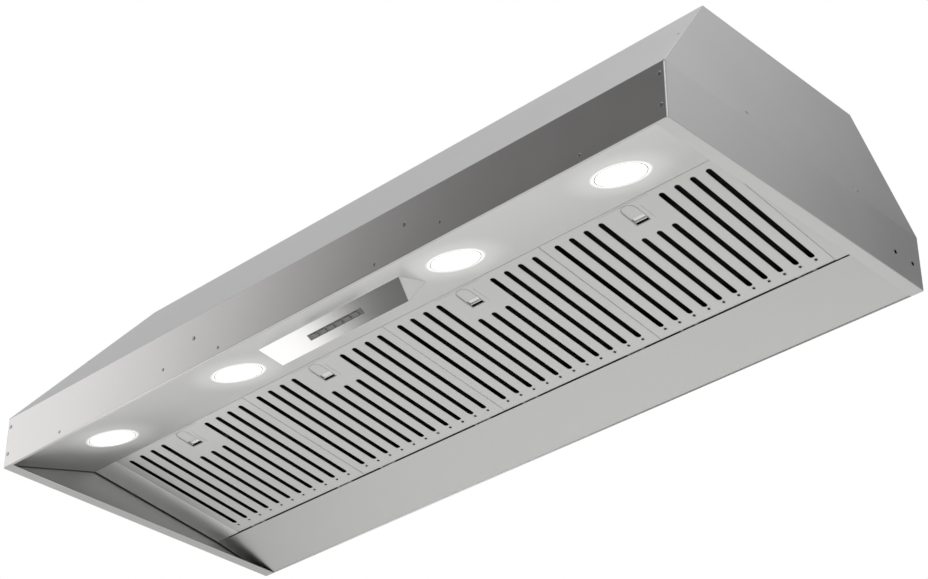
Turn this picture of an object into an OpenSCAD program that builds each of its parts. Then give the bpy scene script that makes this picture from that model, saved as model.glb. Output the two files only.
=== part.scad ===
// Range hood insert: a folded sheet body that stands on its rim, a slanted liner
// with four lamps and a button console, four latched filters, and inside them one
// double inlet blower that blows up through a damper collar.
// Frame: +X to the right as seen from the front, +Y to the rear, +Z up.
// The origin lies on the rim plane, under the middle of the body.

/* [Body] */
// Length over the end skirts
hood_w = 1168; // [1120:1:1300]
// Depth from the front band to the back
hood_d = 484; // [470:1:560]
// Height of the straight skirt
skirt_h = 76; // [66:1:100]
// Height of the sloped upper body
slope_h = 223; // [216:1:260]
// How far each end leans in at the top
end_inset = 73; // [40:1:90]
// How far the front leans back at the top
front_inset = 180; // [150:1:186]
// Thickness of the body sheet
sheet = 1.2; // [1:0.1:1.6]
// Width of the rim under each end
end_rim = 18; // [12:1:24]
// Width of the lip under the front band
front_lip = 4; // [3:0.5:6]

/* [Liner] */
// Thickness of the liner sheet
liner_t = 1; // [0.8:0.1:1.2]
// Gap between the liner and each end wall
liner_gap = 2.5; // [2:0.5:8]
// Height of the light panel at the front band
light_front_z = 4.55; // [3:0.05:8]
// Depth from the front band to the crease
crease_d = 152; // [146:1:160]
// Height of the crease
crease_z = 50.3; // [48:0.1:56]
// Fall of the filters from the crease to the rear, in degrees
filter_fall = 7.24; // [5:0.01:7.3]
// Height of the light panel's front flange
front_flange_h = 22; // [20:1:30]

/* [Filters] */
// From each end wall to the filter row
row_margin = 51.4; // [44:0.1:60]
// Shift of the filter row to the right
row_shift = -2.4; // [-6:0.5:6]
// Depth of a filter along its face
filter_d = 232.4; // [230:0.1:240]
// Height of a filter's walls
filter_h = 12; // [11:0.5:16]
// Thickness of the filter sheets
filter_t = 0.8; // [0.6:0.1:1]
// Slots in each filter
slot_n = 11; // [11:2:11]
// Distance between slots
slot_pitch = 23; // [21:0.5:23]
// Width of a slot
slot_w = 7.5; // [5:0.5:8]
// Front end of the long slots
slot_front = 11.4; // [11:0.1:20]
// Front end of the three middle slots
short_slot_front = 63.8; // [63:0.1:80]
// Plain sheet left behind every slot
slot_end = 19.4; // [18:0.1:28]
// Distance of the drain holes from the filter's rear edge
drain_end = 14; // [8:0.5:15]
// Opening angle of a filter, in degrees
filter_open = 60; // [40:1:60]

/* [Latches] */
// Width of the finger cup
cup_w = 21.6; // [20:0.1:24]
// Shift of the finger cup to the right of the filter's middle
cup_shift = -2.6; // [-6:0.1:6]
// Front end of the finger cup
cup_front = 4.4; // [4:0.1:9]
// Rear end of the finger cup
cup_rear = 40.8; // [40.8:0.1:46]
// Front end of the window in the cup
window_front = 29.2; // [28:0.1:30]
// Width of the latch plate
latch_w = 73; // [66:0.5:74]
// Travel of the latch
latch_travel = 3.3; // [3.2:0.1:3.5]

/* [Lamps] */
// Diameter of a lamp lens
lens_d = 63.5; // [55:0.5:70]
// From the body's middle to each inner lamp
lamp_inner_x = 194.5; // [180:0.5:230]
// From each end to the outer lamp
lamp_end_inset = 132; // [100:0.5:170]
// From the front band to the lamps, along the panel
lamp_u = 84.4; // [76:0.1:95]
// Depth of a lamp can
lamp_can_h = 30; // [24:1:34]

/* [Console] */
// Middle of the console
console_x = 6; // [-20:0.5:20]
// Half length of the console at its base
console_half = 125.5; // [110:0.5:130]
// Half length of the console along its ridge
ridge_half = 112; // [100:0.5:118]
// From the front band to the console, along the panel
console_u = 50.3; // [46:0.1:54]
// Depth of the console's base
console_d = 48.8; // [47:0.1:54]
// Width of the button plate
plate_d = 34.6; // [34:0.1:37]
// Angle between the button plate and the light panel
plate_tilt = 43.4; // [42:0.1:46]
// Distance between buttons
button_pitch = 14.3; // [13:0.1:15]

/* [Blower] */
// Middle of the blower wheel, from the body's middle to the rear
blower_y = 30; // [20:1:40]
// Height of the blower wheel's axis
blower_z = 178; // [174:1:184]
// Radius of the blower wheel
wheel_r = 78; // [72:1:80]
// Half width of the blower wheel
wheel_half = 85; // [70:1:90]
// Radius of the scroll at the cutoff
scroll_r0 = 86; // [85:1:88]
// Growth of the scroll's radius
scroll_grow = 44; // [36:1:46]
// Radius of the motor
motor_r = 46; // [38:1:50]
// Length of the motor
motor_len = 86; // [76:1:100]

/* [Outlet] */
// Outside radius of the duct collar
collar_r = 101.6; // [90:0.1:105]
// Height of the duct collar
collar_h = 45; // [40:1:60]
// Middle of the duct collar, from the body's middle to the rear
collar_y = 110; // [104:1:118]
// Opening angle of the damper flaps, in degrees
damper_open = 78; // [60:1:80]

/* [Fastening] */
// First side hole, from the rear edge
side_hole_1 = 18; // [14:1:24]
// Distance between the side holes
side_hole_pitch = 36; // [30:1:42]
// Height of the side holes
side_hole_z = 30.6; // [24:0.1:36]
// Diameter of the side holes
side_hole_d = 5; // [4:0.1:7]

/* [Hidden] */
FILTERS = [1:4];
LAMPS = [1:4];
BUTTONS = [1:6];
$fn = 48;

half_w = hood_w / 2;
front_y = -hood_d / 2;
rear_y = hood_d / 2;
top_z = skirt_h + slope_h;
top_in_z = top_z - sheet;
filter_n = 4;

// Light panel: straight from the front band up to the crease
light_y = front_y + sheet;
crease_y = front_y + crease_d;
light_rise = atan2(crease_z - light_front_z, crease_y - light_y);
liner_half = half_w - sheet - liner_gap;

// Filter row
filter_pitch = (hood_w - 2 * row_margin) / filter_n;
filter_w = filter_pitch - 0.6;
filter_front = 0.5;
slot_rear = filter_d - slot_end;
drain_v = filter_d - drain_end;
row_left = row_shift - 2 * filter_pitch;
row_right = row_shift + 2 * filter_pitch;
gap_front = filter_d + 0.7;
gap_rear = filter_d + 3.2;
gap_end = half_w - 28;

// Rear hinge of a filter: a rod in open hooks behind the gap
pin_v = filter_d + 2.4;
pin_w = 3;
pin_r = 1.2;
hook_bore_r = 1.28;
hook_r = 2.1;
hook_mouth = pin_r + 0.04;
station_x = 90;
riser_v = filter_d + 6;

// Latch heights above the filter's face
cup_h = 1.6;
latch_z = cup_h + 0.4;
latch_t = 1.2;
tray_z = 9.5;
tongue_out = 2.8;
finger_v = 37.2;
finger_low = 0.4;
finger_half = 9.5;
latch_rear = 52;

// Console section in the light panel's frame
ridge_u = console_u + plate_d * cos(plate_tilt);
ridge_drop = plate_d * sin(plate_tilt);
console_t = 1.2;
button_s = plate_d / 2;
strip_w = 95;
strip_d = 8.7;
button_w = 9.8;
button_d = 5.6;
button_gap = 0.3;
board_z = 7;
board_t = 1.2;

// Blower
cutoff_a = 70;
blower = [blower_y, blower_z];
scroll_half = wheel_half + 10;
inlet_r = wheel_r - 18;
shaft_r = 6;
motor_x = scroll_half + 17;

// Damper
rod_z = top_z + 17.6;
rod_r = 2.4;
knuckle_r = 4.2;
knuckle_bore_r = 2.48;
knuckle_w = 40;
knuckle_gap = 0.3;
knuckle_at = [-41, 41];
collar_t = 1;
flap_r = collar_r - collar_t - 3;
flap_t = 0.8;

// Electrical
box_inset = 154;
box_x = box_inset - half_w;
box_size = [100, 50, 80];
box_z = 150;
gland_r = 11;
driver_inset = 254;
driver_x = half_w - driver_inset;
harness_inset = 104;
harness_z = skirt_h + 34;
driver_size = [90, 36, 30];
lead_r = 3;

// Fastener places, as distances along X and heights
corner_screws = [[8, 19], [8, 61]];
band_rivets = [[460, 10], [139.5, 10], [247, 20.8]];
band_bolts = [[188.6, 43.8]];
slope_screws = [[153, 90], [368, 90]];
hip_rivet = [45.6, 188.9];
shank_r = 1.8;

function left_normal(a) = [-a[1], a[0]] / norm(a);

// Point i of a bent sheet's other face, t to the left of the path
function mitre(pts, i, t) =
    let (
        last = len(pts) - 1,
        before = left_normal(i > 0 ? pts[i] - pts[i - 1] : pts[1] - pts[0]),
        after = left_normal(i < last ? pts[i + 1] - pts[i] : pts[last] - pts[last - 1])
    )
    pts[i] + t * (before + after) / (1 + before * after);

function other_face(pts, t) = [for (i = [0:len(pts) - 1]) mitre(pts, i, t)];

// Section of a bent sheet between two points of its path
module sheet_part(pts, from, to, t) {
    polygon(concat(
        [for (i = [from:to]) pts[i]],
        [for (i = [to:-1:from]) mitre(pts, i, t)]
    ));
}

module bent_sheet(pts, t) {
    sheet_part(pts, 0, len(pts) - 1, t);
}

// Extrudes a (Y, Z) section along X
module along_x(x0, x1) {
    translate([x0, 0, 0]) rotate([90, 0, 90]) linear_extrude(x1 - x0) children();
}

// Extrudes an (X, Z) section along Y
module along_y(y0, y1) {
    translate([0, y1, 0]) rotate([90, 0, 0]) linear_extrude(y1 - y0) children();
}

// Box from its low corner to its high corner
module box(low, high) {
    translate(low) cube(high - low);
}

// Cylinder along X
module rod_x(x0, x1, r) {
    translate([x0, 0, 0]) rotate([0, 90, 0]) cylinder(r = r, h = x1 - x0);
}

module mirrored() {
    children();
    mirror([1, 0, 0]) children();
}

// The rear liner panel falls from the hinge gap to the rims of the ends, and the
// hook rail's riser stands on it
rear_liner_y = rear_y - sheet;
rear_liner_z = sheet + 0.1;
rear_bend = liner_point(gap_rear, 0);
rear_fall = atan2(rear_bend[1] - rear_liner_z, rear_liner_y - rear_bend[0]);
rear_way = [cos(rear_fall), -sin(rear_fall)];
riser_foot = rear_bend + (riser_v - gap_rear) * rear_way
    + liner_t * [sin(rear_fall), cos(rear_fall)];

// Side view of the body's sheet, from the rear edge over the top to the front lip
shell_path = [
    [rear_y, 0],
    [rear_y, top_z],
    [front_y + front_inset, top_z],
    [front_y, skirt_h],
    [front_y, 0],
    [front_y + front_lip, 0]
];

module end_outline() {
    polygon([
        [-half_w, 0], [half_w, 0], [half_w, skirt_h],
        [half_w - end_inset, top_z], [end_inset - half_w, top_z],
        [-half_w, skirt_h]
    ]);
}

// Space between the front, top and back sheets
module inside_outline() {
    polygon([
        [rear_y - sheet, 0],
        mitre(shell_path, 1, sheet),
        mitre(shell_path, 2, sheet),
        mitre(shell_path, 3, sheet),
        [front_y + sheet, sheet],
        [front_y + front_lip, sheet],
        [front_y + front_lip, 0]
    ]);
}

// Part of the body's sheet, trimmed to the slope of the ends
module shell_sheet(from, to) {
    intersection() {
        along_x(-half_w, half_w) sheet_part(shell_path, from, to, sheet);
        along_y(front_y - 1, rear_y + 1) end_outline();
    }
}

module end_panel() {
    intersection() {
        union() {
            along_y(front_y, rear_y) bent_sheet([
                [half_w - end_rim, 0], [half_w, 0],
                [half_w, skirt_h], [half_w - end_inset, top_z]
            ], sheet);
            box([half_w - end_rim, front_y + sheet, light_front_z + front_flange_h + 1],
                [half_w - sheet / 2, front_y + 2 * sheet, skirt_h - 2]);
        }
        along_x(0, half_w) inside_outline();
    }
}

// Frames of the light panel and of the liner behind the crease
module at_light() {
    translate([0, light_y, light_front_z]) rotate([light_rise, 0, 0]) children();
}

module at_liner() {
    translate([0, crease_y, crease_z]) rotate([-filter_fall, 0, 0]) children();
}

module at_filter(i) {
    at_liner() translate([row_left + (i - 0.5) * filter_pitch, 0, 0]) children();
}

lamp_outer_x = half_w - lamp_end_inset;
lamp_x = [-lamp_outer_x, -lamp_inner_x, lamp_inner_x, lamp_outer_x];

module at_lamp(i) {
    at_light() translate([lamp_x[i - 1], lamp_u, 0]) children();
}

// Frame of the button plate, +Z into the console
module at_plate() {
    at_light() translate([console_x, console_u, 0]) rotate([-plate_tilt, 0, 0])
        translate([0, button_s, 0]) children();
}

function button_x(i) = (i - 3.5) * button_pitch;

function liner_point(v, w) = [
    crease_y + v * cos(filter_fall) + w * sin(filter_fall),
    crease_z - v * sin(filter_fall) + w * cos(filter_fall)
];

// Places of the fasteners, +Z outward
module at_band(places) {
    for (p = places) mirrored()
        translate([p[0], front_y, p[1]]) rotate([90, 0, 0]) children();
}

module at_corner_screws() {
    at_band([for (p = corner_screws) [half_w - p[0], p[1]]]) children();
}

module at_end_slope() {
    for (p = slope_screws) mirrored()
        translate([half_w - (p[1] - skirt_h) * end_inset / slope_h, front_y + p[0], p[1]])
            rotate([0, atan2(slope_h, end_inset), 0]) children();
}

module at_hip() {
    mirrored()
        translate([
            half_w - hip_rivet[0],
            front_y + (hip_rivet[1] - skirt_h) * front_inset / slope_h,
            hip_rivet[1]
        ]) rotate([atan2(slope_h, front_inset), 0, 0]) children();
}

// Hole for a fastener, cut out through the outer face
module shank_hole() {
    translate([0, 0, -4]) cylinder(r = shank_r, h = 5);
}

module front_band() {
    color("#d9d7d3") difference() {
        shell_sheet(3, 5);
        at_corner_screws() shank_hole();
        at_band(band_rivets) shank_hole();
        at_band(band_bolts) shank_hole();
    }
}

module front_slope_panel() {
    color("#a9a7a3") difference() {
        shell_sheet(2, 3);
        at_hip() shank_hole();
    }
}

module side_holes() {
    for (k = [0, 1])
        translate([0, rear_y - side_hole_1 - k * side_hole_pitch, side_hole_z])
            rod_x(half_w - 4, half_w + 1, side_hole_d / 2);
}

module right_end_panel() {
    color("#8b8a88") difference() {
        end_panel();
        side_holes();
        at_end_slope() shank_hole();
        at_corner_screws() shank_hole();
    }
}

module left_end_panel() {
    color("#8b8a88") difference() {
        mirror([1, 0, 0]) end_panel();
        mirror([1, 0, 0]) side_holes();
        at_end_slope() shank_hole();
        at_corner_screws() shank_hole();
    }
}

module back_panel() {
    color("#9a9896") shell_sheet(0, 1);
}

module top_panel() {
    color("#9a9896") difference() {
        shell_sheet(1, 2);
        translate([0, collar_y, top_z - 4]) cylinder(r = collar_r - collar_t, h = 8, $fn = 96);
        translate([box_x + box_size[0] / 2, rear_y - 27, top_z - 4]) cylinder(r = gland_r, h = 8);
    }
}

module light_panel() {
    color("#c4c2bd") difference() {
        along_x(-liner_half, liner_half) bent_sheet([
            [light_y, light_front_z + front_flange_h],
            [light_y, light_front_z],
            [crease_y, crease_z],
            liner_point(0, filter_h)
        ], liner_t);
        for (i = LAMPS) at_lamp(i) translate([0, 0, -1]) cylinder(d = lens_d, h = 4, $fn = 96);
        at_light() translate([console_x, console_u + 14, -1]) cylinder(r = 6, h = 4);
        for (i = FILTERS) at_filter(i)
            box([-latch_w / 2 - 0.5, -3, latch_z - 0.4],
                [latch_w / 2 + 0.5, 1, latch_z + latch_t + 0.4]);
        at_band(band_rivets) shank_hole();
        at_corner_screws() shank_hole();
    }
}

// Liner beside the filter row, from x0 at the end wall side to x1 at the filters
module liner_strip(x0, x1) {
    side = x0 < x1 ? 1 : -1;
    at_liner() {
        box([min(x0, x1), 0, 0], [max(x0, x1), gap_front, liner_t]);
        for (x = [x0, x1 - side * liner_t])
            box([min(x, x + side * liner_t), 0, 0],
                [max(x, x + side * liner_t), gap_front, filter_h]);
    }
}

module left_liner_strip() {
    color("#b5b3ae") liner_strip(-liner_half, row_left);
}

module right_liner_strip() {
    color("#b5b3ae") liner_strip(liner_half, row_right);
}

module rear_liner_panel() {
    color("#b5b3ae") {
        along_x(-liner_half, liner_half) bent_sheet([
            rear_bend,
            [rear_liner_y, rear_liner_z],
            [rear_liner_y, rear_liner_z + 18]
        ], liner_t);
        mirrored() at_liner()
            box([gap_end, gap_front, 0], [liner_half, gap_rear + 1, liner_t]);
    }
}

// Hook under one end of a hinge rod, with its arm back to the riser
module hook(x0, x1) {
    translate([0, pin_v, pin_w]) difference() {
        union() {
            rod_x(x0, x1, hook_r);
            box([x0, 0, liner_t - pin_w], [x1, riser_v - pin_v + 0.5, 2 * liner_t - pin_w]);
        }
        rod_x(x0 - 1, x1 + 1, hook_bore_r);
        box([x0 - 1, -hook_mouth, 0], [x1 + 1, hook_mouth, 4]);
    }
}

module filter_hook_rail() {
    color("#8b8a88") {
        along_x(row_left, row_right) bent_sheet([
            liner_point(riser_v, 8),
            riser_foot,
            riser_foot + 16 * rear_way
        ], liner_t);
        for (i = FILTERS) at_filter(i)
            for (x = [-station_x, station_x], side = [-1, 1])
                translate([x + side * 11.5, 0, 0]) hook(-2.5, 2.5);
    }
}

// Round-ended slot from v0 to v1, seen from below
module slot(x, v0, v1, w) {
    translate([x, v0 + w / 2]) circle(d = w, $fn = 24);
    translate([x, v1 - w / 2]) circle(d = w, $fn = 24);
    translate([x - w / 2, v0 + w / 2]) square([w, v1 - v0 - w]);
}

// Finger cup outline, round to the front
module cup_outline(grow) {
    r = cup_w / 2 + grow;
    translate([cup_shift, cup_front + cup_w / 2]) circle(r = r);
    translate([cup_shift - r, cup_front + cup_w / 2])
        square([2 * r, cup_rear - cup_front - cup_w / 2 + grow]);
}

function slot_x(k) = (k - (slot_n - 1) / 2) * slot_pitch;

module face_sheet() {
    linear_extrude(filter_t) difference() {
        translate([-filter_w / 2, filter_front])
            square([filter_w, filter_d - filter_front]);
        for (k = [0:slot_n - 1])
            slot(slot_x(k), abs(slot_x(k)) < 1.5 * slot_pitch ? short_slot_front : slot_front,
                 slot_rear, slot_w);
        for (k = [0:slot_n - 1]) translate([slot_x(k), drain_v]) circle(d = 3.5, $fn = 24);
        cup_outline(0);
    }
}

module finger_cup() {
    difference() {
        linear_extrude(cup_h) cup_outline(filter_t);
        translate([0, 0, -1]) linear_extrude(cup_h + 1 - filter_t) cup_outline(0);
        box([cup_shift - cup_w / 2 + 0.3, window_front, cup_h - 2],
            [cup_shift + cup_w / 2 - 0.3, cup_rear, cup_h + 1]);
    }
}

module latch_guide() {
    x = latch_w / 2 + 0.4;
    box([x, 8, 0], [x + filter_t, 50, tray_z]);
    box([x - 4, 8, latch_z + latch_t + 0.4], [x + filter_t, 50, latch_z + latch_t + 1]);
}

module hinge_station() {
    translate([0, pin_v, pin_w]) rod_x(-15, 15, pin_r);
    box([-8, filter_d - filter_t, pin_w - pin_r], [8, pin_v, pin_w + pin_r]);
}

module filter_face(i) {
    half = filter_w / 2;
    color("#bdbbb6") at_filter(i) {
        face_sheet();
        finger_cup();
        mirrored() latch_guide();
        mirrored() box([half - filter_t, filter_front, 0], [half, filter_d, filter_h]);
        box([-half, filter_d - filter_t, 0], [half, filter_d, filter_h]);
        difference() {
            box([-half, filter_front, 0], [half, filter_front + filter_t, filter_h]);
            box([-latch_w / 2 - 0.4, -1, latch_z - 0.4],
                [latch_w / 2 + 0.4, 3, latch_z + latch_t + 0.4]);
        }
        for (x = [-station_x, station_x]) translate([x, 0, 0]) hinge_station();
    }
}

function tray_slot_x(k) = (k - (slot_n - 2) / 2) * slot_pitch;

module tray_slots(grow) {
    for (k = [0:slot_n - 2])
        slot(tray_slot_x(k),
             (abs(tray_slot_x(k)) < 2 * slot_pitch ? short_slot_front : slot_front) - grow,
             slot_rear + grow, slot_w + 1 + 2 * grow);
}

module filter_tray(i) {
    half = filter_w / 2 - filter_t;
    front = filter_front + filter_t;
    rear = filter_d - filter_t;
    color("#8f8d89") at_filter(i) {
        translate([0, 0, tray_z]) linear_extrude(filter_t) difference() {
            translate([-half, front]) square([2 * half, rear - front]);
            tray_slots(0);
        }
        translate([0, 0, tray_z - 5]) linear_extrude(5) difference() {
            tray_slots(filter_t);
            tray_slots(0);
        }
        mirrored() box([half - filter_t, front, filter_t], [half, rear, tray_z]);
    }
}

module latch(i) {
    color("#9c9a96") at_filter(i) difference() {
        union() {
            box([-latch_w / 2, -tongue_out, latch_z],
                [latch_w / 2, latch_rear, latch_z + latch_t]);
            box([cup_shift - finger_half, finger_v - 1, finger_low],
                [cup_shift + finger_half, finger_v, latch_z + latch_t]);
        }
        box([cup_shift - finger_half, finger_v, latch_z - 1],
            [cup_shift + finger_half, latch_rear - 4, latch_z + 3]);
    }
}

module lamp_lens(i) {
    color("#ffffff") at_lamp(i) {
        translate([0, 0, -0.5]) cylinder(d = lens_d, h = 3, $fn = 96);
        translate([0, 0, liner_t]) cylinder(d = lens_d + 2, h = 2, $fn = 96);
    }
}

module lamp_cans() {
    color("#c8c8c8") for (i = LAMPS) at_lamp(i) translate([0, 0, liner_t]) {
        difference() {
            union() {
                cylinder(d = lens_d + 4.4, h = lamp_can_h);
                cylinder(d = lens_d + 14, h = 1.2);
            }
            translate([0, 0, -1]) cylinder(d = lens_d + 2, h = lamp_can_h - 0.2, $fn = 96);
        }
    }
}

module led_boards() {
    color("#f4f4ee") for (i = LAMPS) at_lamp(i)
        translate([0, 0, liner_t + lamp_can_h - 1.2 - 1.6]) {
            cylinder(d = lens_d - 4, h = 1.6);
            translate([0, 0, -1]) cylinder(r = 9, h = 1);
        }
}

// Wedge section of the console in the light panel's frame
console_path = [
    [console_u, 0],
    [ridge_u, -ridge_drop],
    [console_u + console_d, 0]
];

module console_wedge_inside() {
    corner = mitre(console_path, 1, console_t);
    polygon([
        corner + 1.5 * (console_path[0] - console_path[1]),
        corner,
        corner + 1.5 * (console_path[2] - console_path[1])
    ]);
}

// Lengthwise section of the console between two heights under the panel
module console_length(top, bottom, inset) {
    lean = (console_half - ridge_half) / ridge_drop;
    polygon([
        [-console_half - lean * top + inset, top],
        [console_half + lean * top - inset, top],
        [console_half + lean * bottom - inset, bottom],
        [-console_half - lean * bottom + inset, bottom]
    ]);
}

module control_housing() {
    color("#6b696a") {
        at_light() translate([console_x, 0, 0]) difference() {
            intersection() {
                along_x(-console_half, console_half) polygon(console_path);
                along_y(0, 140) console_length(0, -ridge_drop - 1, 0);
            }
            intersection() {
                along_x(-console_half, console_half) console_wedge_inside();
                along_y(0, 140) console_length(2, -ridge_drop - 1, console_t);
            }
            translate([-console_x, 0, 0]) rotate([-light_rise, 0, 0])
                translate([0, -light_y, -light_front_z]) at_plate()
                box([-strip_w / 2, -strip_d / 2, -3], [strip_w / 2, strip_d / 2, 3]);
        }
        at_plate() for (x = [-50, 50])
            translate([x, 6, console_t]) cylinder(r = 2, h = board_z - console_t);
    }
}

module button_bezel() {
    color("#2c2b2c") at_plate() difference() {
        union() {
            box([-strip_w / 2, -strip_d / 2, -0.5], [strip_w / 2, strip_d / 2, 2]);
            box([-strip_w / 2 + 0.5, -strip_d / 2 - 2, console_t], [strip_w / 2 - 0.5, strip_d / 2, 2]);
        }
        for (i = BUTTONS) translate([button_x(i), 0, 0])
            box([-button_w / 2 - button_gap, -button_d / 2 - button_gap, -2],
                [button_w / 2 + button_gap, button_d / 2 + button_gap, 4]);
    }
}

module button(i) {
    color("#8e8c8c") at_plate() translate([button_x(i), 0, 0]) {
        box([-button_w / 2, -button_d / 2, -1.3], [button_w / 2, button_d / 2, 3.4]);
        box([-button_w / 2 - 0.8, -button_d / 2 - 0.8, 2.4],
            [button_w / 2 + 0.8, button_d / 2 + 0.8, 3.4]);
    }
}

module control_board() {
    color("#2f6b3c") at_plate() {
        box([-54, -6.5, board_z], [54, 12, board_z + board_t]);
        for (i = BUTTONS) translate([button_x(i), 0, 0]) box([-3, -3, 4.8], [3, 3, board_z]);
    }
}

function scroll_radius(a) = scroll_r0 + scroll_grow * (a - cutoff_a) / (360 - cutoff_a);

throat_front = blower_y + scroll_r0 * cos(cutoff_a);
throat_rear = blower_y + scroll_radius(360);
scroll_path = concat(
    [[throat_front, top_in_z]],
    [for (k = [0:36])
        let (a = cutoff_a + k * (360 - cutoff_a) / 36)
        blower + scroll_radius(a) * [cos(a), sin(a)]],
    [[throat_rear, top_in_z]]
);

module blower_scroll() {
    flange = 12;
    color("#b8babc") {
        along_x(-scroll_half, scroll_half) bent_sheet(scroll_path, -sheet);
        for (y = [throat_front - sheet - flange, throat_rear + sheet])
            box([-scroll_half, y, top_in_z - sheet], [scroll_half, y + flange, top_in_z]);
    }
}

module blower_side() {
    color("#b8babc") {
        along_x(scroll_half, scroll_half + sheet) difference() {
            polygon(other_face(scroll_path, -sheet));
            translate(blower) circle(r = inlet_r, $fn = 96);
        }
        translate([0, blower_y, blower_z]) difference() {
            rod_x(scroll_half - 7, scroll_half + sheet, inlet_r);
            rod_x(scroll_half - 8, scroll_half + 3, inlet_r - sheet);
        }
    }
}

module blower_side_right() {
    blower_side();
}

module blower_side_left() {
    mirror([1, 0, 0]) blower_side();
}

module blower_motor() {
    color("#3a3c40") translate([motor_x, blower_y, blower_z]) difference() {
        union() {
            rod_x(0, motor_len, motor_r - 8);
            rod_x(8, motor_len - 8, motor_r);
        }
        rod_x(-1, motor_len - 12, shaft_r + 0.06);
    }
}

module motor_bracket() {
    band_x = motor_x + motor_len / 2;
    foot_r = wheel_r + 2;
    color("#8a8d90") translate([0, blower_y, blower_z]) {
        difference() {
            rod_x(band_x - 6, band_x + 6, motor_r + 1.5);
            rod_x(band_x - 7, band_x + 7, motor_r);
        }
        for (a = [90, 210, 330]) rotate([a, 0, 0]) {
            box([band_x - 1, motor_r + 1, -6], [band_x + 1, foot_r, 6]);
            box([scroll_half + sheet, foot_r - 2, -6], [band_x + 1, foot_r, 6]);
            box([scroll_half + sheet, inlet_r + 6, -6], [scroll_half + sheet + 2, foot_r, 6]);
        }
    }
}

module motor_shaft() {
    color("#c9ccd0") translate([0, blower_y, blower_z])
        rod_x(-24, motor_x + motor_len - 14, shaft_r);
}

module impeller() {
    blade = [17, 0.8];
    root_r = wheel_r - 15.5;
    color("#a8abae") translate([0, blower_y, blower_z]) {
        difference() {
            union() {
                rod_x(-14, 14, 14);
                rod_x(-0.6, 0.6, wheel_r);
            }
            rod_x(-20, 20, shaft_r);
        }
        along_x(-wheel_half, wheel_half)
            for (k = [0:35]) rotate(k * 10) translate([root_r, 0]) rotate(30) square(blade);
        for (x = [-wheel_half, wheel_half - 1]) difference() {
            rod_x(x, x + 1, wheel_r);
            rod_x(x - 1, x + 2, root_r - 1);
        }
    }
}

module duct_collar() {
    color("#c3c5c7") translate([0, collar_y, 0]) difference() {
        union() {
            translate([0, 0, top_z]) cylinder(r = collar_r, h = collar_h, $fn = 96);
            translate([0, 0, top_z]) cylinder(r = collar_r + 11, h = sheet, $fn = 96);
        }
        translate([0, 0, top_z - 1]) cylinder(r = collar_r - collar_t, h = rod_z - top_z - 0.9, $fn = 96);
        translate([0, 0, top_z - 1]) cylinder(r = collar_r - 7, h = collar_h + 2, $fn = 96);
        translate([0, 0, rod_z - 0.7]) cylinder(r = collar_r - collar_t, h = collar_h, $fn = 96);
        translate([0, 0, rod_z]) rod_x(-collar_r - 2, collar_r + 2, rod_r);
    }
}

module damper_rod() {
    color("#c9ccd0") translate([0, collar_y, rod_z])
        rod_x(0.2 - collar_r, collar_r - 0.2, rod_r);
}

// Half-round flap on the rear side of the rod; the knuckles of two flaps alternate with a gap
module flap() {
    w = knuckle_w - knuckle_gap;
    difference() {
        union() {
            translate([0, 0, -flap_t / 2]) linear_extrude(flap_t) intersection() {
                circle(r = flap_r, $fn = 96);
                union() {
                    translate([-flap_r, knuckle_r + 0.4]) square([2 * flap_r, flap_r]);
                    for (x = knuckle_at)
                        translate([x + knuckle_gap / 2, 0]) square([w, knuckle_r + 1]);
                }
            }
            for (x = knuckle_at) rod_x(x + knuckle_gap / 2, x + knuckle_gap / 2 + w, knuckle_r);
        }
        rod_x(-flap_r, flap_r, knuckle_bore_r);
    }
}

module damper_flap_rear() {
    color("#aeb0b2") translate([0, collar_y, rod_z]) flap();
}

module damper_flap_front() {
    color("#aeb0b2") translate([0, collar_y, rod_z]) rotate([0, 0, 180]) flap();
}

box_rear_y = rear_y - sheet;
box_front_y = box_rear_y - box_size[1];

module power_box() {
    color("#9fa2a4") difference() {
        box([box_x, box_front_y, box_z],
            [box_x + box_size[0], box_rear_y, box_z + box_size[2]]);
        box([box_x + sheet, box_front_y - 1, box_z + sheet],
            [box_x + box_size[0] - sheet, box_rear_y - sheet, box_z + box_size[2] - sheet]);
    }
}

module power_box_cover() {
    color("#b4b6b8") box([box_x, box_front_y - sheet, box_z],
                         [box_x + box_size[0], box_front_y, box_z + box_size[2]]);
}

gland_x = box_x + box_size[0] / 2;
gland_y = rear_y - 27;

module cable_gland() {
    color("#333333") translate([gland_x, gland_y, 0]) difference() {
        union() {
            translate([0, 0, top_in_z - 8]) cylinder(r = gland_r, h = sheet + 16);
            translate([0, 0, top_z]) cylinder(r = gland_r + 4, h = 5, $fn = 6);
            translate([0, 0, top_in_z - 5]) cylinder(r = gland_r + 4, h = 5, $fn = 6);
        }
        translate([0, 0, top_in_z - 9]) cylinder(r = 6, h = 30);
    }
}

module lamp_driver() {
    y = box_rear_y - driver_size[1];
    color("#e2e2de") {
        box([driver_x, y, box_z], [driver_x + driver_size[0], box_rear_y, box_z + driver_size[2]]);
        box([driver_x - 12, box_rear_y - 2, box_z],
            [driver_x + driver_size[0] + 12, box_rear_y, box_z + 12]);
    }
}

// Round lead through points that differ along one axis at a time
module lead(pts) {
    for (i = [0:len(pts) - 2]) {
        d = pts[i + 1] - pts[i];
        turn = d[0] != 0 ? [0, 90, 0] : d[1] != 0 ? [-90, 0, 0] : [0, 0, 0];
        start = min(d) < 0 ? pts[i + 1] : pts[i];
        translate(start) rotate(turn) cylinder(r = lead_r, h = norm(d), $fn = 24);
    }
    for (i = [1:1:len(pts) - 2]) translate(pts[i]) sphere(r = lead_r, $fn = 24);
}

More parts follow.
